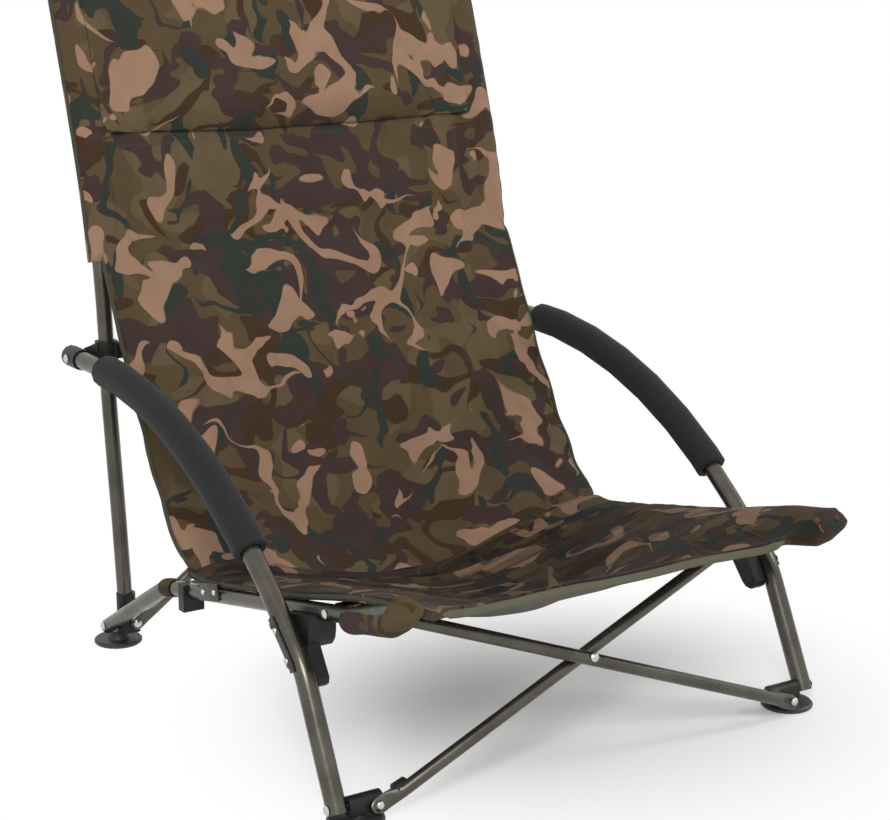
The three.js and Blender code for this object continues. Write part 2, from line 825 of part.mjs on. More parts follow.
function yoke(spacer) {
  const front = -yokeHalfDepth - spacer;
  const pivot = inFrontPlane(legPinIn, frontBraceFootHalfSpread, front - plateStep, frontBraceFootUp);
  const body = joined([
    sidePlate([
      [footPinBack - yokeHalfDepth, yokeBaseUp],
      [footPinBack + yokeHalfDepth, yokeBaseUp],
      ...circleOutline(footPinBack, footPinUp, yokeHalfDepth, 0, straightAngle, pinSides),
    ], yokeIn, yokeOut),
    leaningBlock(
      legPinIn,
      frontBraceFootHalfSpread - pinHeadRadius,
      frontBraceFootHalfSpread + pinHeadRadius,
      front,
      0,
      yokeBaseUp,
      frontBraceFootUp + pinHeadRadius,
    ),
  ]);
  return cut(body, [
    pinHole(legPinIn.clone().addScaledVector(acrossAxis, -seatClearance), legPinOut),
    pinHole(
      pivot,
      pivot.clone().addScaledVector(frontNormal, plateStep + pinBlindDepth + seatClearance),
    ),
  ]);
}
add('front_bracket_l', mirrored(yoke(0)), blackMoulding);
add('front_bracket_r', yoke(braceGap), blackMoulding);

// Swivels on the rails that hold the upper ends of the front braces.
function swivel(spacer) {
  const hub = vector(0, frontPin.y, frontPin.z);
  const front = -yokeHalfDepth - spacer;
  const pivot = inFrontPlane(hub, frontBraceRailHalfSpread, front - plateStep, frontPin.z);
  const low = frontPin.z - swivelHubRadius;
  const high = frontPin.z + pinHeadRadius;
  const body = joined([
    leaningBlock(hub, swivelIn, swivelOut, -yokeHalfDepth, yokeHalfDepth, low, high),
    leaningBlock(
      hub,
      swivelIn,
      frontBraceRailHalfSpread + pinHeadRadius,
      front,
      0,
      low,
      high,
    ),
  ]);
  return cut(body, [
    pinHole(frontPinIn.clone().addScaledVector(acrossAxis, -seatClearance), frontPinOut),
    pinHole(
      pivot,
      pivot.clone().addScaledVector(frontNormal, plateStep + pinBlindDepth + seatClearance),
    ),
  ]);
}
add('rail_swivel_l', mirrored(swivel(braceGap)), blackMoulding);
add('rail_swivel_r', swivel(0), blackMoulding);
addPair('front_rail_pin', stud(frontPinIn, frontPinOut), brightSteel);

// A brace tube between two plate centres. lowStep and highStep set the tube off its end plates.
const tipAngles = [25, 50, rightAngle];
function brace(low, high, normal, lowStep, highStep) {
  const along = high.clone().sub(low);
  along.addScaledVector(normal, -along.dot(normal)).normalize();
  const path = [];
  const wide = [];
  const thick = [];
  function station(point, halfWide, halfThick) {
    path.push(point);
    wide.push(halfWide);
    thick.push(halfThick);
  }
  function plateTip(centre, direction, angle) {
    const turn = THREE.MathUtils.degToRad(angle);
    station(
      centre.clone().addScaledVector(direction, -plateHalfWidth * Math.cos(turn)),
      plateHalfWidth * Math.sin(turn),
      plateHalfThickness,
    );
  }
  const back = along.clone().negate();
  const tubeSetback = plateLength + plateTaper;
  const tubeLow = low.clone().addScaledVector(along, tubeSetback).addScaledVector(normal, lowStep);
  const tubeHigh = high.clone().addScaledVector(back, tubeSetback).addScaledVector(normal, highStep);
  tipAngles.forEach((angle) => plateTip(low, along, angle));
  station(low.clone().addScaledVector(along, plateLength), plateHalfWidth, plateHalfThickness);
  station(tubeLow, braceRadius, braceRadius);
  station(tubeHigh, braceRadius, braceRadius);
  station(high.clone().addScaledVector(back, plateLength), plateHalfWidth, plateHalfThickness);
  tipAngles.slice().reverse().forEach((angle) => plateTip(high, back, angle));
  return rod(ringsAlong(path, normal, wide, thick, tubeSides));
}

function holeThrough(spot, normal, reach) {
  return pinHole(
    spot.clone().addScaledVector(normal, -reach),
    spot.clone().addScaledVector(normal, reach),
  );
}

function plateRivet(spot, normal) {
  return turned([
    [0, 0],
    [pinHeadRadius, 0],
    [pinHeadRadius, plateHalfThickness],
    [pinRadius, plateHalfThickness + pinHeadHeight],
    [0, plateHalfThickness + pinHeadHeight],
  ], spot, normal, pinSides);
}

// The pin at a real pivot: its head in front of the plate, its shank in the moulding behind.
function platePin(spot, normal, step) {
  const inner = spot.clone().addScaledVector(normal, step + pinBlindDepth);
  return stud(inner, spot.clone().addScaledVector(normal, -plateHalfThickness));
}

// Rear crossed braces. They lean with the uprights and stand behind the collar lobes.
const rearStep = braceRadius - plateHalfThickness;
const rearLowA = vector(-rearBraceHalfSpread, socketFace - rearPlateStep, rearBraceFootUp);
const rearLowB = vector(rearBraceHalfSpread, rearLowA.y - braceGap, rearBraceFootUp);
const lobeFace = collarAt.y + lobeBackReach;
const rearHighB = vector(-rearBraceHalfSpread, lobeFace + rearPlateStep, collarAt.z);
const rearHighA = vector(rearBraceHalfSpread, rearHighB.y + braceGap, collarAt.z);
const rearMiddle = rearLowA.clone().add(rearHighA).add(rearLowB).add(rearHighB).multiplyScalar(1 / 4);
const crossReach = braceTubeDiameter + runningClearance / 2;
add('rear_brace_a', cut(
  joined([
    brace(rearLowA, rearHighA, rearNormal, -rearStep, rearStep),
    plateRivet(rearHighA, rearNormal),
  ]),
  [
    holeThrough(rearLowA, rearNormal, rearStep),
    holeThrough(rearMiddle, rearNormal, cuttingReach),
  ],
), oliveSteel);
add('rear_brace_b', cut(
  joined([
    brace(rearLowB, rearHighB, rearNormal, -rearStep, rearStep),
    plateRivet(rearHighB, rearNormal),
  ]),
  [
    holeThrough(rearLowB, rearNormal, rearStep),
    holeThrough(rearMiddle, rearNormal, cuttingReach),
  ],
), oliveSteel);
add('rear_cross_pin', rivet(
  rearMiddle.clone().addScaledVector(rearNormal, -crossReach),
  rearMiddle.clone().addScaledVector(rearNormal, crossReach),
), brightSteel);
add('rear_foot_pin_l', platePin(rearLowA, rearNormal, rearPlateStep), brightSteel);
add('rear_foot_pin_r', platePin(rearLowB, rearNormal, rearPlateStep), brightSteel);

// Front crossed braces, in front of the brackets at both ends.
const frontStep = -rearStep;
const frontOffset = -yokeHalfDepth - plateStep;
const hubSpot = vector(0, frontPin.y, frontPin.z);
const frontLowA = inFrontPlane(legPinIn, -frontBraceFootHalfSpread, frontOffset, frontBraceFootUp);
const frontHighA = inFrontPlane(hubSpot, frontBraceRailHalfSpread, frontOffset, frontPin.z);
const frontLowB = inFrontPlane(legPinIn, frontBraceFootHalfSpread, frontOffset - braceGap, frontBraceFootUp);
const frontHighB = inFrontPlane(hubSpot, -frontBraceRailHalfSpread, frontOffset - braceGap, frontPin.z);
const crossShare = frontBraceFootHalfSpread / (frontBraceFootHalfSpread + frontBraceRailHalfSpread);
const frontMiddleA = frontLowA.clone().lerp(frontHighA, crossShare).addScaledVector(frontNormal, frontStep);
const frontMiddleB = frontLowB.clone().lerp(frontHighB, crossShare).addScaledVector(frontNormal, frontStep);
const frontMiddle = frontMiddleA.clone().add(frontMiddleB).multiplyScalar(1 / 2);
add('front_brace_a', cut(
  joined([
    brace(frontLowA, frontHighA, frontNormal, frontStep, frontStep),
    plateRivet(frontLowA, frontNormal.clone().negate()),
    plateRivet(frontHighA, frontNormal.clone().negate()),
  ]),
  [holeThrough(frontMiddle, frontNormal, cuttingReach)],
), oliveSteel);
add('front_brace_b', cut(
  joined([
    brace(frontLowB, frontHighB, frontNormal, frontStep, frontStep),
    plateRivet(frontLowB, frontNormal.clone().negate()),
  ]),
  [
    holeThrough(frontHighB, frontNormal, rearStep),
    holeThrough(frontMiddle, frontNormal, cuttingReach),
  ],
), oliveSteel);
add('front_cross_pin', rivet(
  frontMiddle.clone().addScaledVector(frontNormal, -crossReach),
  frontMiddle.clone().addScaledVector(frontNormal, crossReach),
), brightSteel);
add('front_brace_pin_l', platePin(frontHighB, frontNormal, plateStep), brightSteel);

// Rail clamps that end the seat cloth, and the cloth loops behind them.
const clampCentre = atBack(railPath, clampBack);
const clampLow = clampCentre.z - railRadius - clampSkirt;
const clampOut = railHalfSpread + railRadius;
addPair('rail_clamp', cut(block(
  vector(railHalfSpread - railRadius - clampWall, clampBack - clampWidth / 2, clampLow),
  vector(clampOut + clampWall, clampBack + clampWidth / 2, clampCentre.z + railRadius),
), [
  tube(railPath, acrossAxis, railRadius + seatClearance),
]), blackMoulding);
const railTotals = lengths(railPath);
const railTotal = railTotals[railTotals.length - 1];
const loopAlong = railTotals.find((total, i) => railPath[i].y < loopBack + railBendRadius / 2);
addPair('rail_loop', hollow(
  pathBetween(railPath, loopAlong, loopAlong + loopWidth),
  acrossAxis,
  railRadius + clothClearance + loopWall,
  railRadius + clothClearance,
  tubeSides,
), camouflage);

// Cloth bodies: a grid of points in front, one behind, and a border between them.
function skin(front, back) {
  const rows = front.length;
  const columns = front[0].length;
  const points = [...front.flat(), ...back.flat()];
  const shift = rows * columns;
  const at = (row, column) => row * columns + column;
  const faces = [];
  for (let row = 1; row < rows; row += 1) {
    for (let column = 1; column < columns; column += 1) {
      const a = at(row - 1, column - 1);
      const b = at(row - 1, column);
      const c = at(row, column);
      const d = at(row, column - 1);
      faces.push([a, b, c], [a, c, d], [shift + a, shift + c, shift + b], [shift + a, shift + d, shift + c]);
    }
  }
  const border = [];
  for (let column = 0; column < columns - 1; column += 1) {
    border.push(at(0, column));
  }
  for (let row = 0; row < rows - 1; row += 1) {
    border.push(at(row, columns - 1));
  }
  for (let column = columns - 1; column > 0; column -= 1) {
    border.push(at(rows - 1, column));
  }
  for (let row = rows - 1; row > 0; row -= 1) {
    border.push(at(row, 0));
  }
  border.forEach((a, i) => {
    const b = border[(i + 1) % border.length];
    faces.push([a, shift + a, shift + b], [a, shift + b, b]);
  });
  return closedBody(points, faces);
}

function gridOf(rows, columns, surface) {
  const grid = [];
  for (let row = 0; row <= rows; row += 1) {
    const line = [];
    for (let column = 0; column <= columns; column += 1) {
      line.push(surface(column / columns, row / rows));
    }
    grid.push(line);
  }
  return grid;
}

function gridNormals(grid) {
  const rows = grid.length - 1;
  const columns = grid[0].length - 1;
  return grid.map((line, row) => line.map((point, column) => {
    const right = line[Math.min(column + 1, columns)].clone().sub(line[Math.max(column - 1, 0)]);
    const down = grid[Math.min(row + 1, rows)][column].clone().sub(grid[Math.max(row - 1, 0)][column]);
    return right.cross(down).normalize();
  }));
}

function cloth(rows, columns, thickness, surface) {
  const grid = gridOf(rows, columns, surface);
  const normals = gridNormals(grid);
  const side = (distance) => grid.map((line, row) => line.map((point, column) => (
    point.clone().addScaledVector(normals[row][column], distance))));
  return skin(side(thickness / 2), side(-thickness / 2));
}

function smooth(share) {
  const bounded = Math.min(1, Math.max(0, share));
  return bounded * bounded * (3 - 2 * bounded);
}

// Seat: slung between the rails, flat where it lies on them, with folds that run from rail to rail.
// In front it falls steeply inside each rail, and its corners reach forward over the rail tips.
const seatRows = 24;
const seatColumns = 20;
const seatHalfWidth = railHalfSpread + seatThickness / 2;
const pocketReach = railRadius + clothClearance + pocketWall;
const pocketStart = atBack(railPath, railTipBack).y + pocketLength;
const railTip = railPath[railPath.length - 1];
const beforeTip = railPath[railPath.length - 2];
const seatRail = [...railPath, towards(railTip, beforeTip, -seatCornerReach)];
const sagPeakShare = 0.45;
const shoulderGrowthShare = 0.3;
const columnCrowdShare = 0.25;
const rearLiftShare = 0.14;

function slung(across, shoulder) {
  return smooth((railHalfSpread - Math.abs(across)) / shoulder);
}

function seatPoint(u, v) {
  const side = 2 * u - 1;
  const across = side * (1 + columnCrowdShare - columnCrowdShare * side ** 2) * seatHalfWidth;
  const corner = 1 - slung(across, seatShoulder);
  const front = seatFront - seatCornerReach * corner;
  const back = front + (seatRear - front) * v;
  const lift = (pocketWall + pocketSeatGap) * smooth((pocketStart - back) / pocketLength + 1);
  const rise = seatRearLift * smooth((v - 1) / rearLiftShare + 1);
  const ahead = atBack(seatRail, back - pinRadius);
  const behind = atBack(seatRail, back + pinRadius);
  const slope = (behind.z - ahead.z) / (2 * pinRadius);
  const stand = railRadius + clothClearance + seatThickness / 2 + lift;
  const rest = atBack(seatRail, back).z + stand * Math.hypot(1, slope);
  const early = seatFrontSag + (seatSag - seatFrontSag) * smooth(v / sagPeakShare);
  const sag = early + (seatRearSag - seatSag) * smooth((v - sagPeakShare) / (1 - sagPeakShare));
  const shoulder = seatShoulder + (railHalfSpread - seatShoulder) * smooth(v / shoulderGrowthShare);
  const hang = slung(across, shoulder);
  const phase = v + side ** 2 * seatFoldFan / (seatRear - seatFront);
  const depth = seatFoldDepth * smooth(v / sagPeakShare) * smooth((1 - v) / rearLiftShare);
  const fold = depth * Math.cos(2 * Math.PI * seatFolds * phase);
  return vector(across, back, rest + rise + (fold - sag) * hang);
}
add('seat', cloth(seatRows, seatColumns, seatThickness, seatPoint), camouflage);

// Pockets sewn over the rail tips.
const pocketPath = [
  ...pathBetween(railPath, railTotal - pocketLength, railTotal - clothClearance),
  towards(railTip, beforeTip, -clothClearance - pocketWall),
  towards(railTip, beforeTip, -pocketClosure),
];
const closureShares = [1, 0.55];
const pocketShares = pocketPath.map((point, i) => (
  closureShares[i + closureShares.length - pocketPath.length] ?? 1));
const pocketDrop = pocketPath.map((point) => point.clone().addScaledVector(upAxis, -pocketHang / 2));
const pocketBody = rod(ringsAlong(
  pocketDrop,
  acrossAxis,
  pocketShares.map((share) => (pocketReach + pocketHang / 2) * share),
  pocketShares.map((share) => pocketReach * share),
  tubeSides,
));
addPair('seat_pocket', cut(pocketBody, [
  tube(railPath, acrossAxis, railRadius + clothClearance),
]), camouflage);

// Back: one cloth whose sides close round the uprights.
const backRows = 9;
const sleeveSegments = 8;
const acrossSegments = 14;
const sleeveTurn = 240;
const sleeveMiddleRadius = uprightRadius + clothClearance + backThickness / 2;
const uprightTotals = lengths(uprightPath);
const uprightTotal = uprightTotals[uprightTotals.length - 1];
const aboveSleeve = uprightPath.findIndex((point) => point.z > sleeveLowUp);
const sleeveStart = uprightTotals[aboveSleeve] - (uprightPath[aboveSleeve].z - sleeveLowUp);
const backColumns = 2 * sleeveSegments + acrossSegments;

function backSection(column) {
  const fromEdge = Math.min(column, backColumns - column);
  const side = column < backColumns / 2 ? -1 : 1;
  if (fromEdge <= sleeveSegments) {
    const turn = sleeveTurn * (1 - fromEdge / sleeveSegments) - rightAngle;
    const angle = THREE.MathUtils.degToRad(turn);
    return [
      side * (uprightHalfSpread + sleeveMiddleRadius * Math.cos(angle)),
      sleeveMiddleRadius * Math.sin(angle),
    ];
  }
  const share = (column - sleeveSegments) / acrossSegments;
  const across = (2 * share - 1) * uprightHalfSpread;
  const hollowShare = 1 - (2 * share - 1) ** 2;
  return [across, backSag * hollowShare - sleeveMiddleRadius];
}

function backPoint(u, v) {
  const distance = sleeveStart + (uprightTotal - backTopDrop - sleeveStart) * v;
  const centre = pointAlong(uprightPath, distance);
  const ahead = pointAlong(uprightPath, distance + pinRadius).sub(centre).normalize();
  const rearward = acrossAxis.clone().cross(ahead).negate();
  const [across, offset] = backSection(Math.round(u * backColumns));
  return vector(across, centre.y, centre.z).addScaledVector(rearward, offset);
}
add('back_upper', cloth(backRows, backColumns, backThickness, backPoint), camouflage);

// Lower back: a free panel from the sleeves down and forward to the seat.
const lowerRows = 10;
const lowerColumns = 20;
const lowerBackHalfWidth = legHalfSpread - lowerBackInset;
const lowerBackTopBack = uprightWaistBack - sleeveMiddleRadius;
const seatRearTop = atBack(railPath, seatRear).z + railRadius + seatThickness + clothClearance + seatRearLift;
const lowerBackFootUp = seatRearTop + lowerBackClearance + backThickness / 2;

function lowerBackPoint(u, v) {
  const side = 2 * u - 1;
  const across = side * lowerBackHalfWidth;
  const topUp = sleeveLowUp - clothClearance;
  const top = vector(across, lowerBackTopBack, topUp - backThickness / 2);
  const corner = vector(across, lowerBackCornerBack, lowerBackCornerUp);
  const foot = vector(across, lowerBackFootBack, lowerBackFootUp);
  const spot = top.clone().lerp(corner, v).lerp(corner.clone().lerp(foot, v), v);
  const depth = backSag + (seatRearSag - backSag) * smooth(v);
  const hang = slung(across, railHalfSpread);
  const fold = Math.sin(lowerBackFolds * 2 * Math.PI * v) * lowerBackFold * hang;
  const away = vector(0, 1 - v, -v).normalize();
  return spot.addScaledVector(away, depth * hang + fold);
}
add('back_lower', cloth(lowerRows, lowerColumns, backThickness, lowerBackPoint), camouflage);

// Head pad on the front of the back.
const padRows = 8;
const padColumns = 16;
const padPower = 6;
const padHalfWidth = uprightHalfSpread - padInset;
const padLowUp = backHeight - padHeight;

function padPoint(u, v, depth) {
  const abovePad = uprightPath.findIndex((point) => point.z > padLowUp);
  const start = uprightTotals[abovePad] - (uprightPath[abovePad].z - padLowUp) / Math.cos(recline);
  const distance = start + (uprightTotal - padTopDrop - start) * v;
  const centre = pointAlong(uprightPath, distance);
  const share = (2 * u - 1) * padHalfWidth / uprightHalfSpread;
  const offset = backSag * (1 - share ** 2) - sleeveMiddleRadius - backThickness / 2 - clothClearance;
  const rearward = vector(0, Math.cos(recline), -Math.sin(recline));
  return vector(share * uprightHalfSpread, centre.y, centre.z).addScaledVector(rearward, offset - depth);
}

function padSwell(u, v) {
  const acrossShare = 1 - Math.abs(2 * u - 1) ** padPower;
  const upShare = 1 - Math.abs(2 * v - 1) ** padPower;
  return padEdgeDepth + (padDepth - padEdgeDepth) * Math.sqrt(acrossShare * upShare);
}
add('head_pad', skin(
  gridOf(padRows, padColumns, (u, v) => padPoint(u, v, padSwell(u, v))),
  gridOf(padRows, padColumns, (u, v) => padPoint(u, v, clothClearance)),
), camouflage);

// The origin is the bottom centre of the whole chair.
const box = new THREE.Box3().setFromObject(chair);
const middle = box.getCenter(vector(0, 0, 0));
chair.children.forEach((mesh) => mesh.geometry.translate(-middle.x, -middle.y, -box.min.z));

export default chair;
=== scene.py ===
import math

import bmesh
import bpy
from mathutils import Matrix, Vector, noise
from mathutils.bvhtree import BVHTree


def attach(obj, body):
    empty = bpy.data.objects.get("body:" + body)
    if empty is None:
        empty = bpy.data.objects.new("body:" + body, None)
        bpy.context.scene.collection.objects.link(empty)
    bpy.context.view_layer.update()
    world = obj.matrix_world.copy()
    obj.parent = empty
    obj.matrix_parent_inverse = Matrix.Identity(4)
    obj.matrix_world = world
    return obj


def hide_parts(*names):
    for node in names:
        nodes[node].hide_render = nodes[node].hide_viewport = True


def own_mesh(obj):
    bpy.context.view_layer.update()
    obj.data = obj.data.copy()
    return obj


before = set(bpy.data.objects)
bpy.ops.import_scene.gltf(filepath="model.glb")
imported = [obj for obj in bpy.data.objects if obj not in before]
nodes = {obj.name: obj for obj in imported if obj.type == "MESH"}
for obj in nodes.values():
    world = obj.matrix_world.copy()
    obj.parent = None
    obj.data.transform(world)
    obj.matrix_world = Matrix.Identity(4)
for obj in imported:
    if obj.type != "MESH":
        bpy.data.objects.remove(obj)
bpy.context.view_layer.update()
scene = bpy.context.scene

# Studio: a white sweep with the chair standing on it, lit by a large soft lamp at the front left,
# a weaker one at the right and a white surround that is dimmer overhead. The camera stands low at
# the front left and looks slightly down at the seat. The sweep fades to pure white off the shadow.
camera_place = (-1.2046, -1.8824, 0.8421)
camera_yaw = 0.5772
camera_pitch = 0.2412
focal_pixels = 2028.6
picture_width = 890
picture_height = 820
aim_row = 430
sensor_width = 36.0
surround_level = 0.92
overhead_level = 0.42
key_lamp_place, key_lamp_target = (-1.7, -2.4, 2.3), (0, 0, 0.3)
side_lamp_place, side_lamp_target = (2.6, -1.0, 1.9), (0, 0, 0.4)
floor_colour = (0.93, 0.93, 0.93, 1)
floor_half_size = 9
floor_sunk = 0.0002
shadow_centre = (-0.09, 0.19, 0)
shadow_reach = 0.12
white_reach = 0.48
floor_lift = 0.12

camera_data = bpy.data.cameras.new("camera")
camera = bpy.data.objects.new("camera", camera_data)
scene.collection.objects.link(camera)
camera.location = camera_place
camera.rotation_euler = (math.pi / 2 - camera_pitch, 0, -camera_yaw)
camera_data.sensor_width = sensor_width
camera_data.lens = sensor_width * focal_pixels / picture_width
camera_data.shift_y = (aim_row - picture_height / 2) / picture_width
camera_data.clip_end = 50
scene.camera = camera
scene.view_settings.view_transform = "Standard"

world = bpy.data.worlds.new("surround")
scene.world = world
world.use_nodes = True


def reckoned(tree, operation, first, second=0):
    """A small sum on a shader's values, each a number or the output of another node."""
    step = tree.nodes.new("ShaderNodeMath")
    step.operation = operation
    for socket, value in zip(step.inputs, (first, second)):
        if isinstance(value, (int, float)):
            socket.default_value = value
        else:
            tree.links.new(value, socket)
    return step.outputs[0]


def seen_directly(tree):
    """1 for what the camera sees, itself or in a mirror or glass, and 0 for light on the chair."""
    ray = tree.nodes.new("ShaderNodeLightPath").outputs
    mirrored = reckoned(tree, "MAXIMUM", ray["Is Camera Ray"], ray["Is Glossy Ray"])
    return reckoned(tree, "MAXIMUM", mirrored, ray["Is Transmission Ray"])


tree = world.node_tree
level = tree.nodes.new("ShaderNodeMapRange")
direction = tree.nodes.new("ShaderNodeSeparateXYZ")
tree.links.new(tree.nodes.new("ShaderNodeTexCoord").outputs["Generated"], direction.inputs[0])
overhead = tree.nodes.new("ShaderNodeMapRange")
overhead.inputs["To Min"].default_value = surround_level
overhead.inputs["To Max"].default_value = overhead_level
tree.links.new(direction.outputs["Z"], overhead.inputs["Value"])
tree.links.new(overhead.outputs[0], level.inputs["To Min"])
level.inputs["To Max"].default_value = 1.0
tree.links.new(seen_directly(tree), level.inputs["Value"])
tree.nodes["Background"].inputs["Color"].default_value = (1, 1, 1, 1)
tree.links.new(level.outputs[0], tree.nodes["Background"].inputs["Strength"])


def soft_lamp(name, place, target, size, power):
    """A round lamp that is turned to a target."""
    data = bpy.data.lights.new(name, "AREA")
    data.shape = "DISK"
    data.size = size
    data.energy = power
    lamp = bpy.data.objects.new(name, data)
    scene.collection.objects.link(lamp)
    lamp.location = place
    lamp.rotation_euler = (Vector(target) - Vector(place)).to_track_quat("-Z", "Y").to_euler()


soft_lamp("key_lamp", key_lamp_place, key_lamp_target, size=1.2, power=58)
soft_lamp("side_lamp", side_lamp_place, side_lamp_target, size=0.9, power=20)

floor_mesh = bpy.data.meshes.new("floor")
shape = bmesh.new()
bmesh.ops.create_grid(shape, x_segments=1, y_segments=1, size=floor_half_size)
bmesh.ops.translate(shape, verts=shape.verts, vec=(0, 0, -floor_sunk))
shape.to_mesh(floor_mesh)
shape.free()
floor = bpy.data.objects.new("floor", floor_mesh)
scene.collection.objects.link(floor)
floor_finish = bpy.data.materials.new("floor")
floor_finish.use_nodes = True
tree = floor_finish.node_tree
shader = tree.nodes["Principled BSDF"]
shader.inputs["Base Color"].default_value = floor_colour
shader.inputs["Roughness"].default_value = 0.85
shader.inputs["Specular IOR Level"].default_value = 0.1
spot = tree.nodes.new("ShaderNodeMapping")
spot.inputs["Location"].default_value = shadow_centre
tree.links.new(tree.nodes.new("ShaderNodeTexCoord").outputs["Object"], spot.inputs["Vector"])
reach = tree.nodes.new("ShaderNodeVectorMath")
reach.operation = "LENGTH"
tree.links.new(spot.outputs["Vector"], reach.inputs[0])
beyond = tree.nodes.new("ShaderNodeMapRange")
beyond.interpolation_type = "SMOOTHSTEP"
beyond.inputs["From Min"].default_value = shadow_reach
beyond.inputs["From Max"].default_value = white_reach
beyond.inputs["To Min"].default_value = floor_lift
tree.links.new(reach.outputs["Value"], beyond.inputs["Value"])
share = reckoned(tree, "MULTIPLY", beyond.outputs[0], seen_directly(tree))
white = tree.nodes.new("ShaderNodeEmission")
sweep = tree.nodes.new("ShaderNodeMixShader")
tree.links.new(share, sweep.inputs[0])
tree.links.new(shader.outputs[0], sweep.inputs[1])
tree.links.new(white.outputs[0], sweep.inputs[2])
tree.links.new(sweep.outputs[0], tree.nodes["Material Output"].inputs["Surface"])
floor_mesh.materials.append(floor_finish)


# Steel tubes: uprights, arm and leg tubes, rails and crossed braces, bent from round tube and
# painted a satin olive-grey. The paint is a little uneven and has a fine metallic fleck.
def finish_of(name, colour, roughness, metallic=0.0, specular=0.5):
    """A new material with its node tree and its shader."""
    material = bpy.data.materials.new(name)
    material.use_nodes = True
    shader = material.node_tree.nodes["Principled BSDF"]
    shader.inputs["Base Color"].default_value = (*colour, 1)
    shader.inputs["Roughness"].default_value = roughness
    shader.inputs["Metallic"].default_value = metallic
    shader.inputs["Specular IOR Level"].default_value = specular
    return material, material.node_tree, shader


def place_of(tree, attribute=None):
    """The point that a pattern reads: the piece's own place, or the place that its cloth keeps."""
    if attribute:
        source = tree.nodes.new("ShaderNodeAttribute")
        source.attribute_name = attribute
        return source.outputs["Vector"]
    return tree.nodes.new("ShaderNodeTexCoord").outputs["Object"]


def grain(tree, place, scale, detail=3.0, roughness=0.5, distortion=0.0):
    """A noise from 0 to 1, as fine as its scale is large."""
    texture = tree.nodes.new("ShaderNodeTexNoise")
    texture.inputs["Scale"].default_value = scale
    texture.inputs["Detail"].default_value = detail
    texture.inputs["Roughness"].default_value = roughness
    texture.inputs["Distortion"].default_value = distortion
    tree.links.new(place, texture.inputs["Vector"])
    return texture.outputs["Fac"]


def between(tree, value, low, high, out_low, out_high):
    """A value's range from low to high, spread over another range."""
    spread = tree.nodes.new("ShaderNodeMapRange")
    spread.inputs["From Min"].default_value = low
    spread.inputs["From Max"].default_value = high
    spread.inputs["To Min"].default_value = out_low
    spread.inputs["To Max"].default_value = out_high
    tree.links.new(value, spread.inputs["Value"])
    return spread.outputs["Result"]


def mixed(tree, share, first, second):
    """Two colours, each a value or a link, mixed by a share."""
    mix = tree.nodes.new("ShaderNodeMix")
    mix.data_type = "RGBA"
    tree.links.new(share, mix.inputs["Factor"])
    for socket, colour in (("A", first), ("B", second)):
        target = [s for s in mix.inputs if s.name == socket and s.type == "RGBA"][0]
        if isinstance(colour, tuple):
            target.default_value = (*colour, 1)
        else:
            tree.links.new(colour, target)
    return [s for s in mix.outputs if s.type == "RGBA"][0]


def coloured(tree, shader, share, first, second):
    """Colours a finish by two colours that are mixed by a share."""
    tree.links.new(mixed(tree, share, first, second), shader.inputs["Base Color"])


def dulled(tree, shader, value, low, high, out_low, out_high):
    """Sets how rough a finish is, from one roughness to another over a range of a value."""
    rough = between(tree, value, low, high, out_low, out_high)
    tree.links.new(rough, shader.inputs["Roughness"])


def bumped(tree, shader, height, depth, strength=1.0, under=None):
    """Raises a finish by a height, on top of another relief where one is given."""
    bump = tree.nodes.new("ShaderNodeBump")
    bump.inputs["Distance"].default_value = depth
    bump.inputs["Strength"].default_value = strength
    tree.links.new(height, bump.inputs["Height"])
    if under:
        tree.links.new(under, bump.inputs["Normal"])
    tree.links.new(bump.outputs["Normal"], shader.inputs["Normal"])
    return bump.outputs["Normal"]


def rounded_faces(node, limit_degrees, edge_width=0.0):
    """Shades the round faces of a solid smoothly and, given a width, eases its sharp edges."""
    group = bpy.data.node_groups.get(f"smooth_{limit_degrees}")
    if group is None:
        group = bpy.data.node_groups.new(f"smooth_{limit_degrees}", "GeometryNodeTree")
        group.interface.new_socket("Geometry", in_out="INPUT", socket_type="NodeSocketGeometry")
        group.interface.new_socket("Geometry", in_out="OUTPUT", socket_type="NodeSocketGeometry")
        start = group.nodes.new("NodeGroupInput")
        end = group.nodes.new("NodeGroupOutput")
        weld = group.nodes.new("GeometryNodeMergeByDistance")
        weld.inputs["Distance"].default_value = 0.00001
        angle = group.nodes.new("GeometryNodeInputMeshEdgeAngle")
        gentle = group.nodes.new("FunctionNodeCompare")
        gentle.data_type = "FLOAT"
        gentle.operation = "LESS_THAN"
        gentle.inputs["B"].default_value = math.radians(limit_degrees)
        faces = group.nodes.new("GeometryNodeSetShadeSmooth")
        faces.domain = "FACE"
        edges = group.nodes.new("GeometryNodeSetShadeSmooth")
        edges.domain = "EDGE"
        group.links.new(start.outputs[0], weld.inputs["Geometry"])
        group.links.new(weld.outputs[0], faces.inputs["Geometry"])
        group.links.new(faces.outputs[0], edges.inputs["Geometry"])
        group.links.new(angle.outputs["Unsigned Angle"], gentle.inputs["A"])
        group.links.new(gentle.outputs["Result"], edges.inputs["Shade Smooth"])
        group.links.new(edges.outputs[0], end.inputs[0])
    smoothing = nodes[node].modifiers.new("smooth", "NODES")
    smoothing.node_group = group
    if edge_width:
        easing = nodes[node].modifiers.new("eased_edges", "BEVEL")
        easing.limit_method = "ANGLE"
        easing.angle_limit = math.radians(limit_degrees)
        easing.width = edge_width
        easing.segments = 2


def dressed(names, material, limit_degrees=40, edge_width=0.0):
    """Gives solids of the chair their material and their smooth faces."""
    for name in names:
        nodes[name].data.materials.clear()
        nodes[name].data.materials.append(material)
        rounded_faces(name, limit_degrees, edge_width)


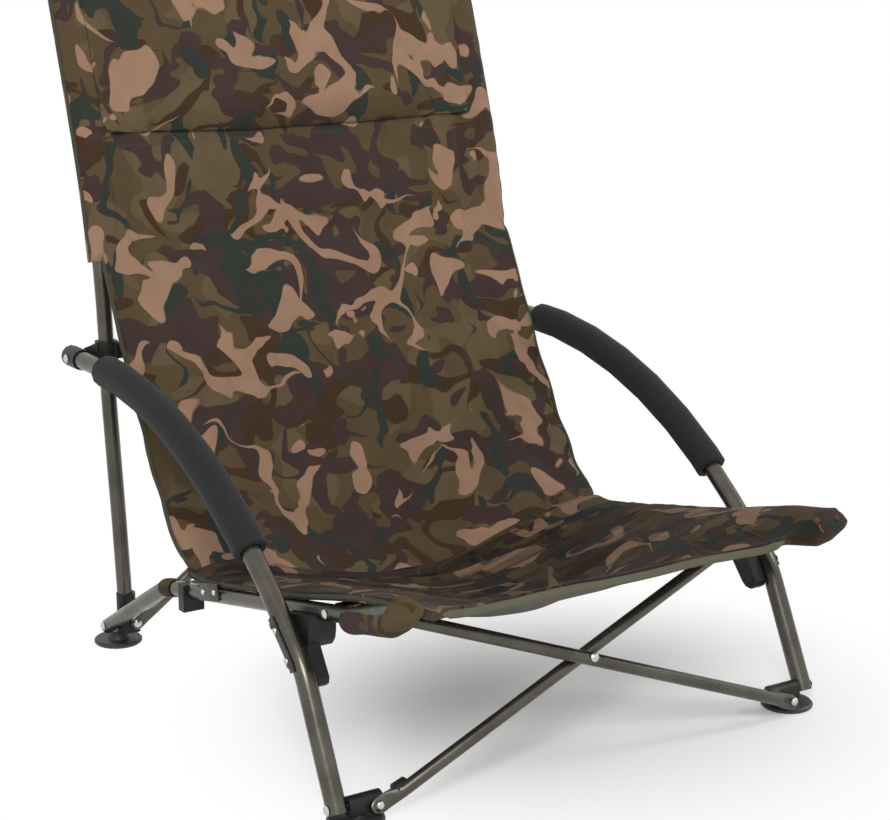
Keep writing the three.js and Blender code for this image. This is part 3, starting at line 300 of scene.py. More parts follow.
sides = ("_l", "_r")
tube_paint, tree, shader = finish_of("olive_steel", (0.12, 0.11, 0.085), 0.30, metallic=0.85)
place = place_of(tree)
cloudy = grain(tree, place, 26, 4)
fleck = grain(tree, place, 2600, 1)
clouds = between(tree, cloudy, 0.35, 0.65, 0, 1)
tone = mixed(tree, clouds, (0.070, 0.065, 0.051), (0.102, 0.096, 0.077))
coloured(tree, shader, between(tree, fleck, 0.55, 0.8, 0, 0.5), tone, (0.30, 0.29, 0.25))
dulled(tree, shader, grain(tree, place, 90, 5), 0.3, 0.7, 0.22, 0.34)
bumped(tree, shader, grain(tree, place, 1400, 2), 0.00004)
tubes = ["upright", "arm_leg", "rail"]
dressed([tube + side for tube in tubes for side in sides], tube_paint, 50)
dressed(["rear_brace_a", "rear_brace_b", "front_brace_a", "front_brace_b"], tube_paint, 50)

# Moulded black nylon: plugs, sockets, collars, caps, cradles, brackets, swivels and clamps, which
# are pressed or riveted on the tubes. They have a fine spark-eroded grain, uneven in its gloss.
nylon, tree, shader = finish_of("black_moulding", (0.011, 0.0112, 0.011), 0.46, specular=0.3)
place = place_of(tree)
uneven = grain(tree, place, 60, 4)
coloured(tree, shader, uneven, (0.008, 0.0082, 0.008), (0.016, 0.0162, 0.016))
dulled(tree, shader, grain(tree, place, 45, 4), 0.3, 0.7, 0.36, 0.56)
bumped(tree, shader, grain(tree, place, 1800, 3), 0.00006)
mouldings = ["upright_plug", "rear_socket", "arm_cap", "collar", "cradle"]
mouldings += ["front_bracket", "rail_swivel", "rail_clamp"]
dressed([moulding + side for moulding in mouldings for side in sides], nylon, 35)

# Mud discs: round feet moulded in hard dark rubber with a soft rim, one under each corner. They
# are scuffed grey by the ground.
rubber, tree, shader = finish_of("grey_rubber", (0.024, 0.025, 0.026), 0.62)
place = place_of(tree)
scuffs = between(tree, grain(tree, place, 75, 5, 0.65), 0.52, 0.75, 0, 1)
coloured(tree, shader, scuffs, (0.020, 0.021, 0.022), (0.050, 0.050, 0.050))
dulled(tree, shader, scuffs, 0, 1, 0.50, 0.78)
bumped(tree, shader, grain(tree, place, 900, 3), 0.00008)
dressed([disc + side for disc in ("front_disc", "rear_disc") for side in sides], rubber, 35)

# Pins and rivets: zinc-plated steel, lightly brushed, with formed round heads. They are the
# pivots of the braces, arms, rails and feet.
plated, tree, shader = finish_of("bright_steel", (0.60, 0.60, 0.58), 0.28, metallic=1.0)
place = place_of(tree)
coloured(tree, shader, grain(tree, place, 220, 4), (0.48, 0.48, 0.46), (0.68, 0.68, 0.66))
dulled(tree, shader, grain(tree, place, 500, 3), 0.3, 0.7, 0.20, 0.40)
pins = ["rail_pin", "rear_foot_pin", "foot_pin", "arm_pin", "front_rail_pin"]
dressed([pin + side for pin in pins for side in sides], plated, 50)
dressed(["rear_cross_pin", "front_cross_pin", "front_brace_pin_l"], plated, 50)

# Strap plates and small fittings: strip steel with a dull dark finish. A strap holds each cradle
# to its leg and a plate is riveted on each rail. Round rivet heads are added here on the straps,
# on the plates and on the flattened ends of the braces.
strap_rivets = ((-0.209, 0.1745), (-0.234, 0.1505))
plate_rivets = ((0.0085, 0.1487), (-0.0175, 0.1552))
plate_size = (0.0030, 0.0420, 0.0200)
plate_edge = 0.0011
plate_out, plate_along, plate_up = 0.2838, -0.0045, 0.1520
rail_slope = math.radians(-14.1)
round_face_limit = math.radians(42)
outside = 0.6

dull_plate, tree, shader = finish_of("dull_plate", (0.070, 0.066, 0.056), 0.42, metallic=0.8)
place = place_of(tree)
coloured(tree, shader, grain(tree, place, 150, 4), (0.052, 0.050, 0.042), (0.092, 0.088, 0.076))
dulled(tree, shader, grain(tree, place, 400, 3), 0.3, 0.7, 0.34, 0.52)
dressed(["cradle_strap_l", "cradle_strap_r"], dull_plate, 50)


def shown_piece(name, shape, material):
    """Gives a finished shape its mesh, smooth faces and material, and puts it in the scene."""
    mesh = bpy.data.meshes.new(name)
    shape.to_mesh(mesh)
    shape.free()
    mesh.shade_smooth()
    mesh.materials.append(material)
    piece = bpy.data.objects.new(name, mesh)
    scene.collection.objects.link(piece)
    return piece


def hard_piece(name, shape, material, body):
    """A fitting that rides on a body, smooth on its round faces and sharp at its edges."""
    bmesh.ops.recalc_face_normals(shape, faces=shape.faces)
    piece = shown_piece(name, shape, material)
    piece.data.set_sharp_from_angle(angle=round_face_limit)
    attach(piece, body)
    return piece


def face_finder(*meshes):
    """What a look along a line meets first on some meshes."""
    whole = bmesh.new()
    for mesh in meshes:
        whole.from_mesh(mesh)
    found = BVHTree.FromBMesh(whole)
    whole.free()
    return found


def rivet_head(name, body, on, start, toward, radius=0.0036, height=0.0022):
    """A formed round head, seated where a look from a start point meets the piece it holds."""
    toward = Vector(toward)
    seated = face_finder(on.data).ray_cast(Vector(start), toward)[0]
    shape = bmesh.new()
    bmesh.ops.create_uvsphere(shape, u_segments=20, v_segments=12, radius=radius)
    bmesh.ops.bisect_plane(
        shape, geom=shape.verts[:] + shape.edges[:] + shape.faces[:],
        plane_co=(0, 0, -radius * 0.25), plane_no=(0, 0, -1), clear_outer=True,
    )
    bmesh.ops.holes_fill(shape, edges=shape.edges, sides=0)
    bmesh.ops.scale(shape, vec=(1, 1, height / radius), verts=shape.verts)
    turned = (-toward).to_track_quat("Z", "Y").to_matrix()
    bmesh.ops.rotate(shape, matrix=turned, verts=shape.verts)
    bmesh.ops.translate(shape, vec=seated, verts=shape.verts)
    return hard_piece(name, shape, plated, body)


for name, brace, start, toward in (
    ("rivet_low_a", "front_brace_a", (-0.262, -outside, 0.0185), (0, 1, 0)),
    ("rivet_low_b", "front_brace_b", (0.262, -outside, 0.0185), (0, 1, 0)),
    ("rivet_high_a", "front_brace_a", (0.238, -outside, 0.1985), (0, 1, 0)),
    ("rivet_rear_a", "rear_brace_a", (0.245, outside, 0.3655), (0, -1, 0)),
    ("rivet_rear_b", "rear_brace_b", (-0.245, outside, 0.3655), (0, -1, 0)),
):
    rivet_head(name, brace, nodes[brace], start, toward, radius=0.0044, height=0.0026)

for side, sign, rail_body, leg_body in (
    ("_l", -1, "rail_left", "leg_left"), ("_r", 1, "rail_right", "leg_right"),
):
    shape = bmesh.new()
    bmesh.ops.create_cube(shape, size=1)
    bmesh.ops.scale(shape, vec=plate_size, verts=shape.verts)
    bmesh.ops.bevel(
        shape, geom=shape.edges[:], offset=plate_edge,
        affect="EDGES", segments=2, profile=0.5, material=-1,
    )
    bmesh.ops.rotate(shape, matrix=Matrix.Rotation(rail_slope, 3, "X"), verts=shape.verts)
    bmesh.ops.translate(shape, vec=(sign * plate_out, plate_along, plate_up), verts=shape.verts)
    plate = hard_piece("rail_plate" + side, shape, dull_plate, rail_body)
    inward = (-sign, 0, 0)
    for number, (y, z) in enumerate(plate_rivets):
        name, start = f"plate_rivet_{number}{side}", (sign * outside, y, z)
        rivet_head(name, rail_body, plate, start, inward, radius=0.0034, height=0.0020)
    for number, (y, z) in enumerate(strap_rivets):
        name, start = f"strap_rivet_{number}{side}", (sign * outside, y, z)
        rivet_head(name, leg_body, nodes["cradle_strap" + side], start, inward)

# Brace boots: short nylon sleeves with rounded ends, pressed over the lower ends of the front
# braces beside their brackets.
boot_foot_radius, boot_head_radius, boot_length = 0.0088, 0.0080, 0.0150
boot_edge = 0.0012
boot_from_end = 0.030
sharp_edge = 0.9
for name, low, high in (
    ("front_brace_a", Vector((-0.262, -0.316, 0.018)), Vector((0.238, -0.262, 0.1985))),
    ("front_brace_b", Vector((0.262, -0.331, 0.018)), Vector((-0.238, -0.277, 0.1985))),
):
    run = (high - low).normalized()
    shape = bmesh.new()
    bmesh.ops.create_cone(
        shape, cap_ends=True, segments=28,
        radius1=boot_foot_radius, radius2=boot_head_radius, depth=boot_length,
    )
    ends = [edge for edge in shape.edges if edge.calc_face_angle(0) > sharp_edge]
    bmesh.ops.bevel(
        shape, geom=ends, offset=boot_edge,
        affect="EDGES", segments=3, profile=0.5, material=-1,
    )
    bmesh.ops.rotate(shape, matrix=run.to_track_quat("Z", "Y").to_matrix(), verts=shape.verts)
    bmesh.ops.translate(shape, vec=low + run * boot_from_end, verts=shape.verts)
    hard_piece("boot_" + name, shape, nylon, name)

# Arm grips: closed-cell foam sleeves pushed over the arm tubes, matt, with a fine skin of pores
# and rounded cut ends.
foam, tree, shader = finish_of("foam", (0.018, 0.0175, 0.018), 0.92, specular=0.25)
shader.inputs["Sheen Weight"].default_value = 0.06
shader.inputs["Sheen Roughness"].default_value = 0.5
place = place_of(tree)
coloured(tree, shader, grain(tree, place, 120, 5), (0.013, 0.0127, 0.013), (0.024, 0.0233, 0.024))
pores = tree.nodes.new("ShaderNodeTexVoronoi")
pores.inputs["Scale"].default_value = 900
tree.links.new(place, pores.inputs["Vector"])
bumped(tree, shader, pores.outputs["Distance"], 0.00025)
dressed(["arm_grip_l", "arm_grip_r"], foam, 50, 0.002)

# Camouflage cloth: a tough woven polyester over thin padding, printed with loose rounded patches
# of olive, plum brown, dark green-grey, dark brown and a pinkish tan. The print keeps its place on
# the cloth when the chair folds.
olive = (0.082, 0.056, 0.027)
pale_olive = (0.104, 0.074, 0.038)
plum = (0.046, 0.028, 0.025)
green_grey = (0.027, 0.032, 0.026)
dark_brown = (0.048, 0.026, 0.013)
tan = (0.280, 0.168, 0.108)
kept_place = "cloth_place"


def shifted(tree, place, offset=(0, 0, 0), scale=(1, 1, 1), turn=(0, 0, 0)):
    """A pattern's points moved, stretched and turned."""
    mapping = tree.nodes.new("ShaderNodeMapping")
    mapping.inputs["Location"].default_value = offset
    mapping.inputs["Scale"].default_value = scale
    mapping.inputs["Rotation"].default_value = turn
    tree.links.new(place, mapping.inputs["Vector"])
    return mapping.outputs["Vector"]


def warped(tree, place, scale, reach):
    """Moves the pattern's points about by a slow noise, so that the patches bend and branch."""
    bend = tree.nodes.new("ShaderNodeTexNoise")
    bend.inputs["Scale"].default_value = scale
    bend.inputs["Detail"].default_value = 1
    tree.links.new(place, bend.inputs["Vector"])
    centred = tree.nodes.new("ShaderNodeVectorMath")
    centred.operation = "SUBTRACT"
    centred.inputs[1].default_value = (0.5, 0.5, 0.5)
    tree.links.new(bend.outputs["Color"], centred.inputs[0])
    reached = tree.nodes.new("ShaderNodeVectorMath")
    reached.operation = "SCALE"
    reached.inputs["Scale"].default_value = reach
    tree.links.new(centred.outputs[0], reached.inputs[0])
    moved = tree.nodes.new("ShaderNodeVectorMath")
    moved.operation = "ADD"
    tree.links.new(place, moved.inputs[0])
    tree.links.new(reached.outputs[0], moved.inputs[1])
    return moved.outputs[0]


def patches(tree, place, scale, cut, offset, stretch=(1, 1, 1), turn=(0, 0, 0), edge=0.006):
    """Rounded patches where a slow noise rises above a cut."""
    blobs = grain(tree, shifted(tree, place, offset, stretch, turn), scale, 1.2, 0.45, 0.35)
    return between(tree, blobs, cut, cut + edge, 0, 1)


def twigs(tree, place, scale, width, offset):
    """Winding bands at the middle height of a noise, wide here and gone there, so they branch."""
    run = shifted(tree, place, offset)
    away = reckoned(tree, "SUBTRACT", grain(tree, run, scale, 0.8, 0.4, 0.3), 0.5)
    distance = reckoned(tree, "ABSOLUTE", away)
    reach = between(tree, grain(tree, run, scale * 0.75, 1, 0.4), 0.46, 0.62, -0.012, width)
    return between(tree, reckoned(tree, "SUBTRACT", reach, distance), 0, 0.004, 0, 1)


# each layer of the print: its colour, its patches and its twigs
print_layers = (
    (dark_brown, (16, 0.60, (0, 0, 5.7), (0.8, 1, 1.4)), (10, 0.040, (6.1, 2, 0))),
    (plum, (15, 0.565, (0, 7.3, 0), (1, 1, 1.4), (0, 0.7, 0)), (12, 0.050, (2.4, 5, 9))),
    (green_grey, (17, 0.64, (9.2, 1, 0), (1.5, 1, 0.8)), (11, 0.046, (1.1, 8, 3))),
    (tan, (17, 0.632, (1.7, 4.4, 8.8), (1, 1, 0.9), (0, 0.5, 0)), (11, 0.052, (4.7, 4.4, 1.8))),
)


def camouflage(name, shade_low=0.92, shade_high=1.08, with_crease_shade=False):
    """The printed cloth, its colour scaled by a random tone whose range can carry painted shade,
    and where asked with painted crease shadows in crosswise streaks, stronger towards the back.
    """
    material, tree, shader = finish_of(name, olive, 0.86, specular=0.12)
    shader.inputs["Sheen Weight"].default_value = 0.02
    shader.inputs["Sheen Roughness"].default_value = 0.6
    place = place_of(tree, kept_place)
    bent = warped(tree, warped(tree, place, 11, 0.065), 30, 0.020)
    colour = mixed(tree, patches(tree, bent, 12.5, 0.55, (3.1, 0, 0)), olive, pale_olive)
    for layer, patch, twig in print_layers:
        shown = reckoned(tree, "MAXIMUM", patches(tree, bent, *patch), twigs(tree, bent, *twig))
        colour = mixed(tree, shown, colour, layer)
    # A slow noise varies the print's tone between shade_low and shade_high; on the seat this range
    # is set low as painted shade, for the seat's dimmer light.
    tone_and_painted_shade = between(tree, grain(tree, place, 35, 4), 0.3, 0.7, shade_low, shade_high)
    # Painted shade of the seat's creases: dark crosswise streaks from a stretched noise, stronger
    # towards the back.
    if with_crease_shade:
        crosswise = shifted(tree, warped(tree, place, 7, 0.03), scale=(5, 48, 5))
        painted_crease_shade = between(tree, grain(tree, crosswise, 1, 2.5), 0.46, 0.60, 0, 1)
        towards_back = tree.nodes.new("ShaderNodeSeparateXYZ")
        tree.links.new(place, towards_back.inputs[0])
        rear = between(tree, towards_back.outputs["Y"], -0.225, 0.025, 0.12, 0.62)
        left = reckoned(tree, "SUBTRACT", 1, reckoned(tree, "MULTIPLY", painted_crease_shade, rear))
        tone_and_painted_shade = reckoned(tree, "MULTIPLY", tone_and_painted_shade, left)
    shade = tree.nodes.new("ShaderNodeVectorMath")
    shade.operation = "SCALE"
    tree.links.new(colour, shade.inputs[0])
    tree.links.new(tone_and_painted_shade, shade.inputs["Scale"])
    tree.links.new(shade.outputs[0], shader.inputs["Base Color"])
    threads = tree.nodes.new("ShaderNodeTexWave")
    threads.inputs["Scale"].default_value = 420
    threads.inputs["Distortion"].default_value = 1.5
    tree.links.new(place, threads.inputs["Vector"])
    weave = bumped(tree, shader, threads.outputs["Fac"], 0.00015, 0.6)
    bumped(tree, shader, grain(tree, place, 260, 4), 0.0005, 0.5, weave)
    return material


camo = camouflage("camouflage_cloth")
# The seat's print is painted darker as shade, since the seat lies dimmer in the light, and carries
# painted crease shadows towards the back.
seat_camo = camouflage("camouflage_seat", shade_low=0.60, shade_high=0.76, with_crease_shade=True)
backing, tree, shader = finish_of("cloth_backing", (0.147, 0.127, 0.115), 0.80, specular=0.3)
place = place_of(tree, kept_place)
coloured(tree, shader, grain(tree, place, 40, 4), (0.125, 0.108, 0.098), (0.165, 0.142, 0.128))
dulled(tree, shader, grain(tree, place, 300, 3), 0.3, 0.7, 0.7, 0.9)
bumped(tree, shader, grain(tree, place, 420, 3), 0.0003, 0.6)


def smooth_share(value):
    """0 up to 0, 1 from 1 on, and a smooth rise in between."""
    bounded = min(1.0, max(0.0, value))
    return bounded * bounded * (3 - 2 * bounded)


def soft_copy(node, rim_thickness=0.0):
    """The cloth solid of a node as one mesh of quads, with its thin rims kept sharp."""
    shape = bmesh.new()
    shape.from_mesh(nodes[node].data)
    bmesh.ops.remove_doubles(shape, verts=shape.verts, dist=0.00001)
    bmesh.ops.join_triangles(
        shape, faces=shape.faces, angle_face_threshold=1.2, angle_shape_threshold=3.1,
    )
    if rim_thickness:
        sharp = shape.edges.layers.float.new("crease_edge")
        for edge in shape.edges:
            if edge.calc_face_angle(0) > sharp_edge and edge.calc_length() > rim_thickness * 1.15:
                edge[sharp] = 1.0
    return shape


def cloth_piece(name, shape, levels, moves=(), materials=(camo,), lining=None, cut_from=(0, 0, 0)):
    """Smooths a cloth shape, moves its points by each fold in turn and gives it the printed cloth.

    The faces that lining picks show the cloth's coated back."""
    mesh = bpy.data.meshes.new(name)
    shape.to_mesh(mesh)
    shape.free()
    piece = bpy.data.objects.new(name, mesh)
    scene.collection.objects.link(piece)
    if levels:
        subdivision = piece.modifiers.new("subdivision", "SUBSURF")
        subdivision.levels = levels
        subdivision.render_levels = levels
        bpy.context.view_layer.update()
        graph = bpy.context.evaluated_depsgraph_get()
        finer = bpy.data.meshes.new_from_object(piece.evaluated_get(graph))
        piece.modifiers.clear()
        piece.data = finer
        bpy.data.meshes.remove(mesh)
        mesh = finer
        mesh.name = name
    kept = mesh.attributes.new(kept_place, "FLOAT_VECTOR", "POINT")
    for vert, value in zip(mesh.vertices, kept.data):
        value.vector = vert.co + Vector(cut_from)
    for move in moves:
        starts = [(vert.co.copy(), vert.normal.copy()) for vert in mesh.vertices]
        for vert, (spot, normal) in zip(mesh.vertices, starts):
            vert.co = move(spot, normal)
        mesh.update()
    mesh.materials.clear()
    for material in materials:
        mesh.materials.append(material)
    for face in mesh.polygons:
        face.use_smooth = True
        face.material_index = 1 if lining and lining(face) else 0
    return piece


# Seat: one padded cloth slung between the rails, which it wraps on both sides. Its slack lies in
# shallow creases that run from rail to rail, closer together and deeper towards the back, and its
# front corners are stiffened by a second layer.
seat_crease_depth = 0.0062
seat_front, seat_rear = -0.3545, 0.068
seat_lining_edge = 0.262
seat_solid_rim = 0.0090
seat_print_place = (0.055, 0.075, 0.02)
nose_reach, nose_slope, nose_turn = 0.0068, 0.0105, 0.0065
corner_seam_lines = (0.165, 0.205)
corner_seam_turn, corner_seam_slope = -0.32, 0.06
corner_seam_back, corner_seam_end = -0.255, 0.25
corner_seam_width, corner_seam_depth = 0.0035, 0.0012


def seat_creases(spot, normal):
    """Creases from rail to rail, deeper towards the back and away from the rails."""
    back = smooth_share((spot.y - seat_front) / (seat_rear - seat_front) * 1.5 - 0.35)
    inner = 1 - smooth_share((abs(spot.x) - 0.235) / 0.04)
    wander = noise.noise(Vector((spot.x * 4, spot.y * 6, 3.3))) * 0.032
    fan = spot.x * 0.06 * math.sin(spot.y * 17)
    crease = noise.noise(Vector((spot.x * 1.7, (spot.y + wander + fan) * 40, 1.7)))
    sharp = 1 - abs(crease) * 2.8
    fine = noise.noise(Vector((spot.x * 5, (spot.y + wander) * 95, 8.1)))
    share = (0.12 + 0.88 * back) * (0.25 + 0.75 * inner)
    return spot + normal * ((sharp * 0.75 + fine * 0.35) * seat_crease_depth * share)


def seat_rumples(spot, normal):
    """Slow rises and hollows of the padding between the rails."""
    slow = noise.noise(spot * 9) * 0.004 + noise.noise(spot * 22) * 0.0014
    inner = 1 - smooth_share((abs(spot.x) - 0.225) / 0.05)
    return spot + Vector((0, 0, slow * inner))


def corner_noses(spot, normal):
    """The cloth over the rail tips reaches a little further forward and turns down over them."""
    outward = smooth_share((abs(spot.x) - 0.205) / 0.04)
    rounded = 1 - smooth_share((abs(spot.x) - 0.262) / 0.0167)
    front = smooth_share((-0.33 - spot.y) / 0.05)
    sloped = nose_slope * smooth_share((-0.285 - spot.y) / 0.09)
    turned_down = nose_turn * smooth_share((-0.366 - spot.y) / 0.016)
    fall = (sloped + turned_down) * outward
    return spot + Vector((0, -nose_reach * outward * rounded * front, -fall))


def corner_seams(spot, normal):
    """Grooves where the second layer of the front corners is sewn down."""
    depth = 0
    for line in corner_seam_lines:
        slanted = (spot.y - corner_seam_turn) * corner_seam_slope
        across = (abs(spot.x) - line - slanted) / corner_seam_width
        depth += math.exp(-across * across)
    back = (spot.y - corner_seam_back) / corner_seam_width
    if corner_seam_lines[0] < abs(spot.x) < corner_seam_end:
        depth += math.exp(-back * back)
    shown = smooth_share((-0.25 - spot.y) / 0.004)
    return spot - normal * (corner_seam_depth * min(1, depth) * shown)


seat = cloth_piece(
    "seat_cloth", soft_copy("seat", seat_solid_rim), 3,
    (seat_rumples, seat_creases, corner_noses, corner_seams), (seat_camo, backing),
    lambda face: face.normal.z < -0.35 and abs(face.center.x) < seat_lining_edge,
    seat_print_place,
)
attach(seat, "rail_left")
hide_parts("seat")

# Binding: folded tape sewn round the cut edges of the seat, a pale olive one along its front hem
# and dark ones at its sides. Rows of thread stitches hold the hem and the corners' second layer.
rim_depth = 0.0012
tape_end_share, tape_end_growth = 0.3, 0.35
stitch_half_width, stitch_height = 0.0006, 0.0005
look_back, look_ahead = 0.05, 0.35
hem_half_length = 0.216
hem_row_half_length, hem_row_place, hem_row_bend = 0.24, -0.343, 0.012
corner_row_starts = (("inner", 0.1605, -0.352), ("outer", 0.2095, -0.36))
corner_cross_row = -0.2505
above_seat = 0.26

hem_tape, tree, shader = finish_of("hem_tape", (0.095, 0.093, 0.058), 0.80, specular=0.3)
place = place_of(tree)
coloured(tree, shader, grain(tree, place, 55, 4), (0.080, 0.078, 0.047), (0.110, 0.107, 0.068))
bumped(tree, shader, grain(tree, place, 900, 2), 0.0004)
dark_tape, tree, shader = finish_of("dark_tape", (0.045, 0.048, 0.030), 0.80, specular=0.3)
place = place_of(tree)
coloured(tree, shader, grain(tree, place, 55, 4), (0.035, 0.038, 0.023), (0.055, 0.058, 0.037))
bumped(tree, shader, grain(tree, place, 900, 2), 0.0004)
thread, tree, shader = finish_of("thread", (0.075, 0.070, 0.045), 0.7, specular=0.3)
place = place_of(tree)
coloured(tree, shader, grain(tree, place, 300, 2), (0.050, 0.046, 0.028), (0.105, 0.098, 0.066))


def rim_line(piece, station, outward, low, high, count):
    """The outermost points of a cloth at each of some stations along an axis, as a smooth line."""
    outward = Vector(outward)
    pitch = (high - low) / (count - 1)
    places = [vert.co for vert in piece.data.vertices]
    line = []
    for number in range(count):
        here = low + number * pitch
        near = [spot for spot in places if abs(spot[station] - here) < pitch * 0.6]
        reach = max(spot.dot(outward) for spot in near)
        rim = [spot for spot in near if spot.dot(outward) > reach - rim_depth]
        middle = sum(rim, Vector()) / len(rim)
        middle[station] = here
        line.append(middle)
    for smoothing in range(3):
        line[1:-1] = [(line[k - 1] + line[k] * 2 + line[k + 1]) / 4 for k in range(1, count - 1)]
    return line


def strip(name, line, up, material, wide, thick):
    """A rounded tape swept along a line, its width turned towards up."""
    shape = bmesh.new()
    frames = []
    for number, spot in enumerate(line):
        ahead = line[min(number + 1, len(line) - 1)] - line[max(number - 1, 0)]
        ahead.normalize()
        width = Vector(up) - ahead * ahead.dot(Vector(up))
        width.normalize()
        depth = ahead.cross(width)
        from_end = min(number, len(line) - 1 - number)
        narrowed = min(1, tape_end_share + tape_end_growth * from_end)
        axes = Matrix((width * wide * narrowed, depth * thick * narrowed, ahead))
        frames.append(Matrix.Translation(spot) @ axes.transposed().to_4x4())
    bmesh.ops.create_circle(shape, segments=10, radius=0.5, cap_ends=True)
    bmesh.ops.transform(shape, matrix=frames[0], verts=shape.verts)
    edges = list(shape.edges)
    for before, after in zip(frames, frames[1:]):
        grown = bmesh.ops.extrude_edge_only(shape, edges=edges)["geom"]
        verts = [item for item in grown if isinstance(item, bmesh.types.BMVert)]
        edges = [item for item in grown if isinstance(item, bmesh.types.BMEdge)]
        bmesh.ops.transform(shape, matrix=after @ before.inverted(), verts=verts)
    bmesh.ops.holes_fill(shape, edges=shape.edges, sides=0)
    bmesh.ops.recalc_face_normals(shape, faces=shape.faces)
    return shown_piece(name, shape, material)


def stitches(name, piece, line, toward, pitch=0.0042, length=0.0028):
    """A row of thread stitches let into a cloth along a line, found by looking toward its face."""
    cloth = BVHTree.FromObject(piece, bpy.context.evaluated_depsgraph_get())
    toward = Vector(toward).normalized()
    spots = []
    for first, last in zip(line, line[1:]):
        steps = max(1, round((last - first).length / pitch))
        spots += [first.lerp(last, k / steps) for k in range(steps)]
    shape = bmesh.new()
    for spot, following in zip(spots, spots[1:]):
        hit, normal = cloth.ray_cast(spot - toward * look_back, toward, look_ahead)[:2]
        if hit is None:
            continue
        ahead = (following - spot).normalized()
        side = normal.cross(ahead).normalized()
        axes = Matrix((ahead * length / 2, side * stitch_half_width, normal * stitch_height))
        turn = axes.transposed().to_4x4()
        bmesh.ops.create_uvsphere(
            shape, u_segments=6, v_segments=4, radius=1.0, matrix=Matrix.Translation(hit) @ turn,
        )
    return shown_piece(name, shape, thread)


bpy.context.view_layer.update()
line = rim_line(seat, 0, (0, -1, 0), -hem_half_length, hem_half_length, count=81)
hem = strip("seat_front_hem", line, (0, 0.35, 1), hem_tape, wide=0.0088, thick=0.0052)
seat_edges = [hem]
for side, sign in (("_l", -1), ("_r", 1)):
    name = "seat_side_binding" + side
    line = rim_line(seat, 1, (sign, 0, 0), low=-0.376, high=0.058, count=74)
    seat_edges.append(strip(name, line, (0, 0, 1), dark_tape, wide=0.0050, thick=0.0034))
down = (0, 0, -1)
sewn_front = []
for k in range(-30, 31):
    bend = hem_row_bend * smooth_share((abs(k) / 30 - 0.72) / 0.28)
    sewn_front.append(Vector((hem_row_half_length * k / 30, hem_row_place - bend, above_seat)))
seat_edges.append(stitches("seat_front_stitches", seat, sewn_front, down))
for side, sign in (("_l", -1), ("_r", 1)):
    for kind, start, foremost in corner_row_starts:
        row = []
        for y in (foremost, corner_seam_turn, -0.29, corner_seam_back):
            out = start + (y - corner_seam_turn) * corner_seam_slope
            row.append(Vector((sign * out, y, above_seat)))
        seat_edges.append(stitches(f"corner_stitches_{kind}{side}", seat, row, down))
    row = [Vector((sign * x, corner_cross_row, above_seat)) for x in (0.165, 0.205, 0.245)]
    seat_edges.append(stitches("corner_stitches_cross" + side, seat, row, down))
for edge_piece in seat_edges:
    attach(edge_piece, "rail_left")
for soft in [seat] + seat_edges:
    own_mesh(soft)

# Back: one panel of the printed cloth, stretched between the uprights above and hanging free in
# front of their lower parts down to the seat. It is taut near the uprights and slightly hollow in
# the middle.
back_ripple = 0.0034
back_thickness = 0.0050
back_half_width = 0.2530
back_lower_half_width = 0.2790
back_columns = 22
back_rows = 28
back_foot = 0.0470
back_widening_top, back_widening_length = 0.500, 0.026
least_half_width, half_width_step = 0.2, 0.0005
sunk_in_seat = 0.0035
sleeve_meeting, under_sleeve = 0.2425, 0.0018
seam_foot, seam_spread = 0.2290, 0.0140
seam_groove_width, seam_groove_depth = 0.0062, 0.0045
pulled_fold_depth, drag_depth = 0.0026, 0.0015
stitch_row_foot, stitch_row_spread = 0.2245, 0.0130
look_from = Vector((0, -0.10, 0.60))
look_up = math.radians(22.9)
look_down = math.radians(-71.5)
look_distance = 0.48

back_face = face_finder(nodes["back_upper"].data, nodes["back_lower"].data)
seat_face = face_finder(seat.data)


def back_ray(along):
    """The line of sight that meets the back at a share of its length."""
    angle = look_up + (look_down - look_up) * along
    return Vector((0, math.cos(angle), math.sin(angle)))


def back_hit(place, ray):
    """Where a line of sight meets the back at a place across it."""
    return back_face.ray_cast(look_from + Vector((place, 0, 0)), ray)[0]


def half_width_at(along):
    """How far the cloth reaches to each side along one of its rows."""
    ray = back_ray(along)
    middle = back_hit(0.001, ray) or back_face.find_nearest(look_from + ray * look_distance)[0]
    low = smooth_share((back_widening_top - middle.z) / back_widening_length)
    wanted = back_half_width + (back_lower_half_width - back_half_width) * low
    while wanted > least_half_width and not (back_hit(wanted, ray) and back_hit(-wanted, ray)):
        wanted -= half_width_step
    return wanted if wanted > least_half_width else None


row_widths = [half_width_at(k / back_rows) for k in range(back_rows + 1)]
known_widths = [k for k, width in enumerate(row_widths) if width]
row_widths = [
    width or row_widths[min(known_widths, key=lambda known: abs(known - k))]
    for k, width in enumerate(row_widths)
]


def on_back(across, along):
    """The point of the back's front face at a share of its half width and of its length."""
    ray = back_ray(along)
    place = across * row_widths[round(along * back_rows)]
    if along > 0.99:
        over_seat = Vector((place, back_foot, 0.5))
        return seat_face.ray_cast(over_seat, Vector(down))[0] - Vector((0, 0, sunk_in_seat))
    hit = back_hit(place, ray)
    if hit is None:
        hit = back_face.find_nearest(look_from + Vector((place, 0, 0)) + ray * look_distance)[0]
        hit.x = place
    beside_sleeve = smooth_share((abs(place) - sleeve_meeting) / 0.003)
    sunk = beside_sleeve * smooth_share((hit.z - 0.49) / 0.01)
    return hit + Vector((0, under_sleeve * sunk, 0))


def spread_line(z, foot, spread):
    """How far out a seam of the side sleeves runs at some height: it leans out above the seat."""
    return foot + spread * smooth_share((z - 0.50) / 0.25)


def seam_groove(spot):
    """How deep the cloth dips where the side sleeves are sewn to it."""
    across = (abs(spot.x) - spread_line(spot.z, seam_foot, seam_spread)) / seam_groove_width
    return math.exp(-across * across) * smooth_share((spot.z - 0.43) / 0.08)


